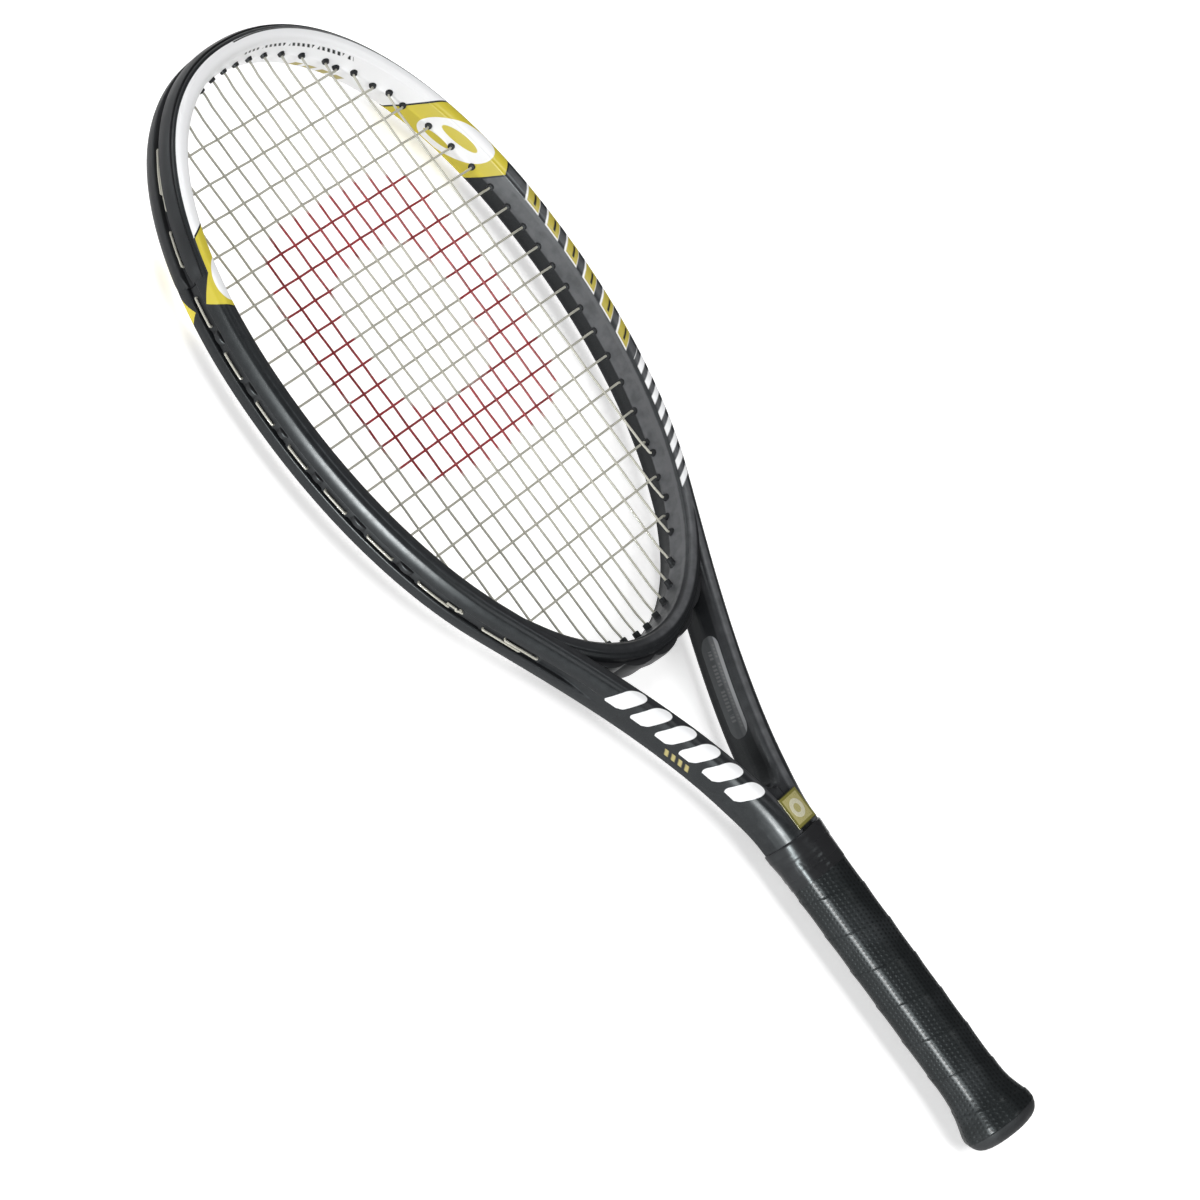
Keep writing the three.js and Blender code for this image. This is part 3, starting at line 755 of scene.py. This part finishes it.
def lacquer(look):
    """Black lacquer with fine metal flakes. A painted reflection makes it greyer over the upper
    half of the hoop's inner wall, and a painted highlight runs along the ridge of its right half,
    fainter on the left ridge."""
    t = look.uv()[1]
    cloud = look.noise(34, 3)
    color = look.mix(cloud, (0.0045, 0.005, 0.006), (0.009, 0.0095, 0.011))
    x, y, _ = look.place()
    right = y.below(10, 40)
    # Painted reflection and painted highlight: the inner wall's upper half and the ridges are
    # coloured paler grey
    painted_sheen = t.within(*INNER_WALL, 1) * look.ramp(x, 316, 344, 0.05, 1)
    painted_sheen = painted_sheen + (t.within(*RIDGE, 1.2) * 0.85 + t.within(*WALL_TO_RIDGE, 1) * 0.25) * right
    painted_sheen = painted_sheen + t.within(14, 18, 3) * (1 - right) * 0.2
    mottle = look.ramp(look.noise(150, 4), 0.3, 0.7, 0.6, 1.1)
    color = look.mix(painted_sheen * mottle, color, (0.105, 0.107, 0.113))
    flake = look.noise(5200, 1)
    color = look.mix(flake.above(0.62, 0.1) * 0.25, color, (0.07, 0.074, 0.08))

    # A silvery panel with round ends on the shafts' inner side, with a painted highlight along
    # its upper edge and two rows of small bars
    beyond = look.larger(look.larger(254 - x, x - 293), 0.0)
    panel = look.length(beyond, t - 1).below(6.6, 0.4)
    # Painted highlight: a bright band along the panel's upper edge, and a paler band below it
    panel_painted_highlight = t.within(4.9, 7.6, 0.8) + t.within(1.5, 4.9, 1.5) * 0.25
    silver = look.mix(cloud, (0.042, 0.045, 0.048), (0.08, 0.084, 0.088))
    color = look.mix(panel, color, look.mix(panel_painted_highlight, silver, (0.26, 0.267, 0.275)))
    dash = slanted_bars(x, t, 296, 252, 1.9, 0.55, 2.6, 4.2, 0.4)
    dash = look.larger(dash, slanted_bars(x, t, 293, 256, 1.9, 0.55, -0.8, 0.8, 0.4))
    gaps = (x / 13 % 1.0).above(0.16, 0.02)
    return look.mix(dash * gaps * 0.6, color, (0.19, 0.194, 0.198))


CAPSULE_PITCH = 15.2


def graphite_look(name, printed):
    look = Look(
        name, Coat_Weight=0.1, Coat_Roughness=0.25, Specular_IOR_Level=0.16,
        Specular_Tint=COOL,
    )
    color = lacquer(look)
    s, t = look.uv()
    x, y, z = look.place()
    height = look.noise(1500, 2) * 0.35
    if printed:
        left = y.above(0.0, 0.1)
        right_yellow, right_field, right_line = right_panel(look, x, t)
        left_yellow, left_field, left_line = left_panel(look, x, t)
        yellow = right_yellow + (right_yellow * -1 + left_yellow) * left
        field = right_field + (right_field * -1 + left_field) * left
        line = right_line + (right_line * -1 + left_line) * left
        tip_start = look.ramp(left, 0, 1, 621, 630.5) - look.mix_number(left, t, abs(t)) * 0.64
        white = (x - tip_start).above(0.0) * abs(t).below(look.ramp(y, -70, 70, 18.6, 21))
        color = look.mix(yellow, color, YELLOW)
        color = look.mix(look.larger(white, field), color, WHITE)
        color = look.mix(line, color, INK)

        # Small bars round the tip's inner wall, in black above and gold below
        row = slanted_bars(s, t, 92, 8, 3.6, 0.55, 7.4, 10, 0.7) * white
        row = row * (1 - (s / 21 % 1.0).below(0.16, 0.02))
        color = look.mix(row, color, INK)
        marks = slanted_bars(s, t, 96, 58, 9.5, 0.6, -10.5, -7, -0.8) * white
        color = look.mix(marks, color, GOLD)

        # Blocks and then bars down the right side's ridge
        top = t.above(10, 0.1) * (1 - left)
        blocks = slanted_bars(x, t, 546, 443, 17.2, 0.66, 10.6, 19.2, -0.85) * top
        filling = slanted_bars(x, t, 546, 443, 17.2, 0.56, 11.3, 18.5, -0.85) * top
        slot = slanted_bars(x, t, 546, 443, 17.2, 0.1, 12.5, 17.4, -0.85)
        bars = slanted_bars(x, t, 440, 368, 8.7, 0.52, 12.4, 20.2, -0.7) * top
        color = look.mix(look.larger(blocks, bars), color, WHITE)
        color = look.mix(filling, color, OLIVE)
        color = look.mix(slot * filling, color, INK)

        # Six fat capsules on the left shaft's outer bevel, and gold bars below them
        lean = (x - t * 0.35 - 210) / CAPSULE_PITCH
        across = (abs(lean % 1.0 - 0.5)) * CAPSULE_PITCH
        spread = look.larger(abs(t - 24.8) - 4.2, 0.0)
        fat = look.length(across, spread).below(5.2, 0.25)
        fat = fat * lean.within(0.0, 6.0, 0.01) * left
        color = look.mix(fat, color, WHITE)
        marks = slanted_bars(x, t, 270, 253, 4.3, 0.5, -32.2, -28.4, 0.6) * left
        color = look.mix(marks, color, GOLD)
        height = height + look.larger(look.larger(white, yellow), look.larger(fat, blocks)) * 0.6
    look.color(color)
    rough = look.ramp(look.noise(260, 4), 0.3, 0.7, 0.36, 0.5)
    look.roughness(look.larger(rough, look.ramp(z, -4, -9, 0.3, 0.72)))
    look.relief(height, 0.03)
    return look.material


def plastic_look(name, color, roughness, grain=0.03):
    look = Look(name, Specular_IOR_Level=0.18, Specular_Tint=COOL)
    cloud = look.noise(60, 3)
    look.color(look.mix(cloud, color, tuple(c * 1.8 for c in color)))
    look.roughness(look.ramp(cloud, 0.3, 0.7, roughness - 0.06, roughness + 0.08))
    look.relief(look.noise(2600, 3), grain)
    return look.material


# The ring stencilled on the strings: its middle and its outer and inner half sizes
STENCIL_CENTRE = (522, 2)
STENCIL_OUTER = (79, 81)
STENCIL_INNER = (43, 44)


def string_look():
    """Off-white gut with a ring stencilled in red ink over the middle of the strings."""
    look = Look("string_gut", Roughness=0.5, Specular_IOR_Level=0.3, Coat_Weight=0.05)
    x, y, _ = look.place()
    bleed = (look.noise(160, 2) - 0.5) * 0.12
    a, b = x - STENCIL_CENTRE[0], y - STENCIL_CENTRE[1]
    outside = look.squarish(a / STENCIL_OUTER[0], b / STENCIL_OUTER[1]) + bleed
    inside = look.squarish(a / STENCIL_INNER[0], b / STENCIL_INNER[1]) + bleed
    ink = outside.below(1.0, 0.03) * inside.above(1.0, 0.05)
    patchy = look.noise(420, 3)
    ink_color = look.mix(patchy.above(0.5, 0.4), (0.36, 0.002, 0.014), (0.15, 0.002, 0.007))
    gut = look.mix(look.noise(90, 2), (0.36, 0.355, 0.3), (0.47, 0.46, 0.4))
    look.color(look.mix(ink * 0.95, gut, ink_color))
    look.relief(look.noise(3000, 2), 0.01)
    return look.material


def leather_look():
    """Tacky synthetic leather: fine grain, rows of small dimples with painted shade in them, and
    a few worn spots.
    """
    look = Look(
        "grip_leather", Specular_IOR_Level=0.13, Specular_Tint=COOL, Coat_Weight=0.08,
        Coat_Roughness=0.22,
    )
    s, t = look.uv()
    cloud = look.noise(120, 3)
    worn = look.noise(38, 4).above(0.58, 0.12)
    color = look.mix(cloud, (0.005, 0.006, 0.0065), (0.01, 0.0115, 0.0125))
    color = look.mix(worn * 0.5, color, (0.02, 0.022, 0.024))
    row = t / 2.75
    shift = (row - row % 1.0) * 0.5
    dimple = look.length((s / 2.6 + shift) % 1.0 - 0.5, row % 1.0 - 0.5)
    dimple = dimple.below(0.26, 0.18)
    # Painted shade: the dimples are coloured darker than the leather round them
    look.color(look.mix(dimple, color, (0.002, 0.0024, 0.0026)))
    grain = look.noise(1100, 4, 0.6)
    rough = look.ramp(grain + worn * 0.1, 0.3, 0.75, 0.32, 0.55)
    look.roughness(rough + dimple * 0.25)
    look.relief(grain * 0.7 - dimple * 0.9, 0.15)
    return look.material


BADGE_CENTRE = 202.8
BADGE_HALF = (9.4, 9)


def foil_look():
    """Gold label with a pale ring in a thin frame."""
    look = Look("gold_foil", Metallic=0.35, Coat_Weight=0.6, Coat_Roughness=0.15)
    x, y, _ = look.place()
    a, b = x - BADGE_CENTRE, y
    brushed = look.noise(1, 4, at=look.vector(x * 0.4, y * 6))
    color = look.mix(brushed, (0.46, 0.41, 0.15), (0.6, 0.55, 0.25))
    size = look.larger(abs(a) / BADGE_HALF[0], abs(b) / BADGE_HALF[1])
    radius = look.length(a, b)
    pale = radius.within(2.6, 5.4)
    frame_band = size.above(0.8, 0.03)
    color = look.mix(frame_band, color, (0.24, 0.22, 0.04))
    color = look.mix(size.above(0.955, 0.01), color, (0.06, 0.055, 0.01))
    look.color(look.mix(pale, color, (0.78, 0.75, 0.55)))
    look.roughness(look.ramp(brushed, 0.3, 0.7, 0.24, 0.36))
    look.relief(pale - frame_band * 0.6, 0.05)
    return look.material


graphite = graphite_look("printed_graphite", True)
plain_graphite = graphite_look("lacquered_graphite", False)
black = plastic_look("black_nylon", (0.012, 0.012, 0.013), 0.42)
rubber = plastic_look("cap_rubber", (0.014, 0.014, 0.015), 0.55, 0.06)
vinyl = plastic_look("vinyl_tape", (0.012, 0.012, 0.013), 0.3)
foam = plastic_look("rigid_foam", (0.27, 0.26, 0.23), 0.85, 0.2)
steel = plastic_look("wire_steel", (0.4, 0.4, 0.41), 0.35)
gut = string_look()
leather = leather_look()
foil = foil_look()


# ---------- frame pieces ----------

throat_stations = np.arange(place_at(206), place_at(236), 0.5)
piece(
    "hoop_and_shafts",
    [sweep(
        hairpin, beam_section, reshape=beam_shape, s_zero=TIP_S, t_zero=BEAM_ZERO,
        extra=np.concatenate([throat_stations, 2 * TIP_S - throat_stations]),
    )],
    graphite, "frame_hairpin",
)
piece(
    "bridge",
    [sweep(bridge, beam_section, reshape=bridge_shape, t_zero=BEAM_ZERO)],
    plain_graphite, "throat_bridge",
)


def barrel(hole, longer=0.0):
    """A grommet barrel with a rounded lip round the string, flaring at the beam."""
    mouth, base = np.array(hole["mouth"]), np.array(hole["base"])
    along = unit(base - mouth)
    stops = [
        (0.55, 0.75), (0.1, 0.95), (0, 1.3), (0.12, 1.72), (0.5, 1.92), (1.6 + longer, 2),
        (2 + longer, 2.35), (3.4 + longer, 2.5),
    ]
    points = [mouth + along * (d - longer) for d, _ in stops] + [base]
    return tube(points, [r for _, r in stops] + [2.5], 16)


BUMPER = symmetric([
    (4.5, 1.9), (7.8, 2.3), (7.65, 6.9), (6.2, 10), (5.4, 10), (5.2, 9.2), (5.9, 7.6),
    (6, 3.2), (3.7, 2.5),
])
BUMPER_CORNERS = [0.3, 0.8, 1.6, 0.5, 0.3, 0.3, 0.3, 0.3, 0.3]
bumper_section = fillet(BUMPER, BUMPER_CORNERS + BUMPER_CORNERS[::-1], 3)
bumper_start, bumper_end = place_at(BUMPER_END), place_at(BUMPER_END, -1)


def bumper_shape(u, v, s, x):
    """Both ends slope down to the beam."""
    share = smooth(np.minimum(s - bumper_start, bumper_end - s), 0, 6)
    return np.where(u > 6.1, 6.1 + (u - 6.1) * share, u), v * (0.94 + 0.06 * share)


piece(
    "bumper",
    [sweep(hairpin, bumper_section, bumper_start, bumper_end, bumper_shape)]
    + [barrel(h) for h in tip_holes],
    black, "bumper_guard",
)

strip_section = fillet(symmetric([(BASE_TOP, 2.5), (3.2, 2.5)]), 0.4, 3)
PAD_SECTION = fillet(symmetric([(6.3, 1.5), (4, 2.2)]), 0.7, 3)


def pad(path, a, b, height=0):
    """A rounded block that fills the groove between two holes that no string joins."""
    ends = sorted(path.nearest(h["base"][:2]) for h in (a, b))
    margin = (ends[1] - ends[0]) * 0.24
    start, end = ends[0] + margin, ends[1] - margin

    def shape(u, v, s, x):
        share = np.sqrt(np.clip(np.minimum(s - start, end - s) / 2.5, 0.02, 1))
        return np.where(u > 4.4, 4.4 + (u + height - 4.4) * share, u), v * (0.8 + 0.2 * share)

    return sweep(path, PAD_SECTION, start, end, shape)


def side_strip(side):
    ends = [c["left" if side > 0 else "right"] for c in crosses]
    limits = sorted([place_at(STRIP_START, side), place_at(BUMPER_END - 0.6, side)])
    parts = [sweep(hairpin, strip_section, *limits)]
    parts += [barrel(h) for h in side_holes(side)]
    first = 5 if side > 0 else 4
    parts += [pad(hairpin, ends[i], ends[i + 1]) for i in range(first, CROSS_COUNT - 3, 2)]
    return parts


piece("side_strip_left", side_strip(1), black, "grommet_strip_left")
piece("side_strip_right", side_strip(-1), black, "grommet_strip_right")

throat_line = bridge.p[:, 1]
throat_ends = np.interp([-58, 58], throat_line, bridge.s)
COVER = fillet(symmetric([(7.2, 5), (6.4, 8.6), (5.2, 8.9), (4.6, 2)]), 1.2, 3)
LOBE = 23.0


def throat_cover(u, v, s, x):
    """A lobe over each loop of string, with a notch between them, thinning at both ends."""
    middle = (throat_ends[0] + throat_ends[1]) / 2
    lobe = np.abs(np.cos(np.pi * (s - middle) / LOBE)) ** 0.6
    end = smooth(np.minimum(s - throat_ends[0], throat_ends[1] - s), 0, 8)
    size = end * (0.2 + 0.8 * lobe)
    return np.where(u > 5.5, 5.6 + (u + 2.1 - 5.6) * size, u), v * (0.8 + 0.2 * end)


piece(
    "throat_strip",
    [sweep(
        bridge, COVER, *throat_ends, throat_cover, extra=np.arange(*throat_ends, 0.8)
    )] + [barrel(h, 1.6) for h in throat_holes],
    black, "throat_grommet_strip",
)


def corner_grommet(hole):
    s = hairpin.nearest(hole["base"][:2])
    return [sweep(hairpin, strip_section, s - 1.8, s + 1.8), barrel(hole)]


for hole in corner_holes:
    side = "left" if hole["mouth"][1] > 0 else "right"
    piece(
        f"corner_eyelet_{side}", corner_grommet(hole), black,
        f"corner_grommet_{side}",
    )

piece(
    "mains",
    string_parts(main_points, tied_end(mains[0]["bottom"], 1), tied_end(mains[-1]["bottom"], -1)),
    gut, "main_string",
)
piece(
    "crosses",
    string_parts(
        cross_points, tied_end(crosses[0]["right"], -1), tied_end(crosses[-1]["right"], -1)
    ),
    gut, "cross_string",
)


# ---------- handle ----------

def octagon_ring(half_width, half_height, count=96, corner=0.42, round_by=3.2):
    """Points round an octagon with rounded corners, evenly spread by angle from +y."""
    w, h = half_width * corner, half_height * corner
    outline = fillet([
        (half_width, -h), (half_width, h), (w, half_height), (-w, half_height),
        (-half_width, h), (-half_width, -h), (-w, -half_height), (w, -half_height),
    ], round_by, 8)
    length = around(outline)
    closed = np.vstack([outline, outline[:1]])
    even = np.linspace(0, length[-1], 480, endpoint=False)
    outline = np.column_stack([np.interp(even, length, closed[:, i]) for i in (0, 1)])
    angle = np.arctan2(outline[:, 1], outline[:, 0])
    order = np.argsort(angle)
    angle, outline = angle[order], outline[order]
    radius = np.linalg.norm(outline, axis=1)
    wanted = (np.arange(count) * 2 * math.pi / count + math.pi) % (2 * math.pi) - math.pi
    wide = np.concatenate([angle - 2 * math.pi, angle, angle + 2 * math.pi])
    reach = np.interp(wanted, wide, np.tile(radius, 3))
    return np.column_stack([np.cos(wanted), np.sin(wanted)]), reach


def octagonal(rings, count=96, lift=None, round_by=3.2, joined=False):
    """An octagonal body, or a sleeve if its last ring is joined to its first. A ring is
    (along, half width) with, if given, its half height and how far its flats reach; lift adds
    height to a surface point."""
    out, s, last = [], [], None
    for along, half, *more in rings:
        height = more[0] if more else half - 1.25 * min(1, half / 10)
        flat = more[1] if len(more) > 1 else 0.42
        direction, reach = octagon_ring(half, height, count, flat, round_by)
        if lift:
            angle = np.arange(count) * 2 * math.pi / count
            reach = reach + lift(along, angle)
        out.append(np.column_stack([np.full(count, along), direction * reach[:, None]]))
        s.append(0 if last is None else s[-1] + math.hypot(along - last[0], half - last[1]))
        last = (along, half)
    if joined:
        s.append(s[-1] + math.hypot(last[0] - rings[0][0], last[1] - rings[0][1]))
    return skin(np.array(out), np.array(s), np.linspace(0, 110, count + 1), joined)


# Along the handle and half width of the wrap's outside
WRAP_PITCH = 22.7
WRAP_PROFILE = [
    (7.2, 21.3), (7.8, 21.8), (9.2, 21.95), (11.6, 21.75), (14, 21.1), (17, 20.2), (20, 19.3),
    (24, 18.3), (28, 17.7), (34, 17.25), (40, 17.05), (166, 17.05), (174, 16.9), (181, 16.7),
]


def wrap_rings():
    """The outside from the butt upwards, then the inside back, over the cap's sleeve."""
    along = np.concatenate([[7.2, 7.5, 7.8, 8.3], np.arange(9, 181.1, 0.45)])
    profile = np.array(WRAP_PROFILE)
    return [(x, np.interp(x, profile[:, 0], profile[:, 1])) for x in along] + [
        (181, 15.5), (35, 15.5), (34.4, 16.45), (28, 16.8), (22, 17.7), (16, 19.2), (11.6, 20.4),
        (7.2, 20.4),
    ]


def wrap_lift(along, angle):
    """The strip's leading edge overlaps its last turn, so the surface climbs and then drops."""
    phase = (along / WRAP_PITCH + angle / (2 * math.pi)) % 1
    climb = 0.42 * phase ** 4 * (1 - smooth(phase, 0.975, 1))
    hollow = -0.08 * np.sin(math.pi * phase)
    fade = smooth(along, 8, 14) * (1 - smooth(along, 172, 180))
    return (climb + hollow) * fade


piece(
    "grip_wrap",
    [octagonal(wrap_rings(), 144, wrap_lift, 4.2, joined=True)],
    leather, "base_grip", 50,
)


def creases(along, angle):
    """Shallow slanting creases, as on tape pulled over an edge."""
    wave = np.sin(1.9 * along + 3 * np.sin(angle + 0.6)) + np.sin(1.1 * along - 5 * angle)
    wave = wave * (0.5 + 0.5 * np.sin(3 * angle + 0.35 * along))
    return 0.09 * wave


piece(
    "tape",
    [octagonal(
        [(167.4, 16.6, 15.4), (167.6, 17.25, 16)]
        + [(x, 17.3, 16.05) for x in np.arange(168, 184, 0.5)] + [(184, 16.6, 15.4)],
        144, creases, joined=True,
    )],
    vinyl, "finishing_tape",
)


def collar_rings():
    """The collar hugs the tape at one end and the throat at the other."""
    rings = [(173.1, 17, 15.8), (173.3, 17.35, 16.1), (173.8, 17.5, 16.3)]
    for x in np.arange(174.5, 190.6, 0.5):
        share = smooth(x, 176, 190)
        rings.append((x, 17.5 - 0.2 * share, 16.3 - 0.8 * share, 0.42 + 0.13 * share))
    return rings + [
        (190.9, 17.1, 15.4, 0.55), (191.2, 16.8, 15.1, 0.55), (191.4, 16.3, 14.6, 0.55),
        (191.4, 14, 12.5, 0.55), (189.9, 14, 12.5, 0.55), (189.6, 15.6, 14.35),
        (184.4, 15.6, 14.35), (184.2, 17, 15.8),
    ]


piece(
    "collar", [octagonal(collar_rings(), 144, creases, round_by=5, joined=True)],
    vinyl, "grip_collar", 50,
)

# The cap's inside from its sleeve's end out through the door's chamber and round mouth, then
# the flare and the sleeve's outside.
CAP = [
    (34, 15.5), (10.6, 15.5), (10.6, 13, 13), (3.4, 13, 13), (3.2, 11, 11), (1.2, 11, 11),
    (0.5, 11.6, 11.6), (0.1, 13.4), (0.2, 14.9), (0.9, 16.8), (2, 18.5), (3.6, 20),
    (5.6, 21.1), (7.4, 21.6), (7.9, 21.2), (8.2, 20), (11.4, 20), (16, 18.8), (22, 17.3),
    (28, 16.4), (34, 16.1),
]
piece(
    "cap", [octagonal(CAP, 96, round_by=5, joined=True)], rubber, "butt_cap", 50,
)
piece(
    "door",
    [lathe([
        (0.001, 1.1), (3.2, 1.1), (3.5, 0.8), (4, 0.35), (9.7, 0.25), (10.2, 0.45), (10.5, 0.9),
        (10.5, 2.6), (9.6, 2.7), (9.6, 7.4), (8.4, 7.5), (8.4, 2.6), (0.001, 2.6),
    ])],
    black, "butt_cap_door", body="door",
)


BADGE_LEVEL = 14.25
BADGE_TILT = 0.02


def badge_shape(u, v, s, x):
    return u, v + BADGE_TILT * (BADGE_CENTRE - x)


piece(
    "badge",
    [sweep(
        Path([(BADGE_CENTRE - BADGE_HALF[0], 0), (BADGE_CENTRE + BADGE_HALF[0], 0)], 2),
        fillet(symmetric([(BADGE_HALF[1], 0.4), (-BADGE_HALF[1], 0.4)]), 0.3, 2),
        reshape=badge_shape, level=BADGE_LEVEL,
    )],
    foil, "throat_badge",
)

# Hidden pieces keep the frame's own meshes
KEPT = {
    "handle_pallet_upper": foam, "handle_pallet_lower": foam, "leg_plug_left": foam,
    "leg_plug_right": foam, "butt_staple_upper": steel, "butt_staple_lower": steel,
}
for name, look in KEPT.items():
    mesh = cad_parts[name].data
    mesh.materials.clear()
    mesh.materials.append(look)


# ---------- stage, in metres ----------

FLOOR_REACH = 12
FLOOR_GLOW = 0.55
CAMERA_AT = (-0.0876, -1.97109, 1.61903)
CAMERA_FORWARD = (0.0344, 0.7744, -0.6317)
CAMERA_ROLL = 55.34
CAMERA_LENS = 147
LIGHT_TARGET = (0, 0, 0.02)
WORLD_LIGHT = 0.16

# Name, place, size, watts, and whether the light is seen only in glossy reflections
LIGHTS = [
    ("left", (1.6, 0.1, 2.3), (1.3, 1.6), 36, False),
    ("right", (-1.6, 0.1, 2.3), (1.3, 1.6), 36, False),
    ("front_low", (-0.1, -3.0, 0.5), (3.6, 0.24), 60, False),
    ("front_gloss", (0.88, -2.85, 0.32), (1.7, 0.6), 400, True),
    ("side_gloss", (-2.9, -0.65, 0.32), (1.8, 0.6), 25, True),
]


def floor():
    mesh = bpy.data.meshes.new("floor")
    r = FLOOR_REACH
    mesh.from_pydata([(-r, -r, 0), (r, -r, 0), (r, r, 0), (-r, r, 0)], [], [(0, 1, 2, 3)])
    look = Look("pale_floor", Roughness=0.9, Specular_IOR_Level=0.1)
    look.color((0.85, 0.85, 0.85))
    look.shader.inputs["Emission Color"].default_value = (1, 1, 1, 1)
    look.shader.inputs["Emission Strength"].default_value = FLOOR_GLOW
    mesh.materials.append(look.material)
    obj = bpy.data.objects.new("floor", mesh)
    bpy.context.scene.collection.objects.link(obj)


def area_light(name, at, size, power, only_gloss):
    light = bpy.data.lights.new(name, "AREA")
    light.shape = "RECTANGLE"
    light.size, light.size_y = size
    light.energy = power
    obj = bpy.data.objects.new(name, light)
    obj.location = at
    obj.visible_diffuse = not only_gloss
    obj.rotation_euler = (Vector(at) - Vector(LIGHT_TARGET)).to_track_quat("Z", "Y").to_euler()
    bpy.context.scene.collection.objects.link(obj)


def camera():
    data = bpy.data.cameras.new("camera")
    data.lens = CAMERA_LENS
    data.sensor_width = 36
    obj = bpy.data.objects.new("camera", data)
    forward = Vector(CAMERA_FORWARD).normalized()
    level = forward.cross(Vector((0, 0, 1))).normalized()
    roll = Matrix.Rotation(math.radians(-CAMERA_ROLL), 3, forward)
    right = roll @ level
    up = right.cross(forward)
    turn = Matrix((right, up, -forward)).transposed().to_4x4()
    obj.matrix_world = Matrix.Translation(CAMERA_AT) @ turn
    bpy.context.scene.collection.objects.link(obj)
    bpy.context.scene.camera = obj


floor()
for light in LIGHTS:
    area_light(*light)
camera()

world = bpy.data.worlds.new("world")
bpy.context.scene.world = world
world.use_nodes = True
background = world.node_tree.nodes["Background"]
background.inputs["Color"].default_value = (1, 1, 1, 1)
background.inputs["Strength"].default_value = WORLD_LIGHT
bpy.context.scene.view_settings.view_transform = "Standard"
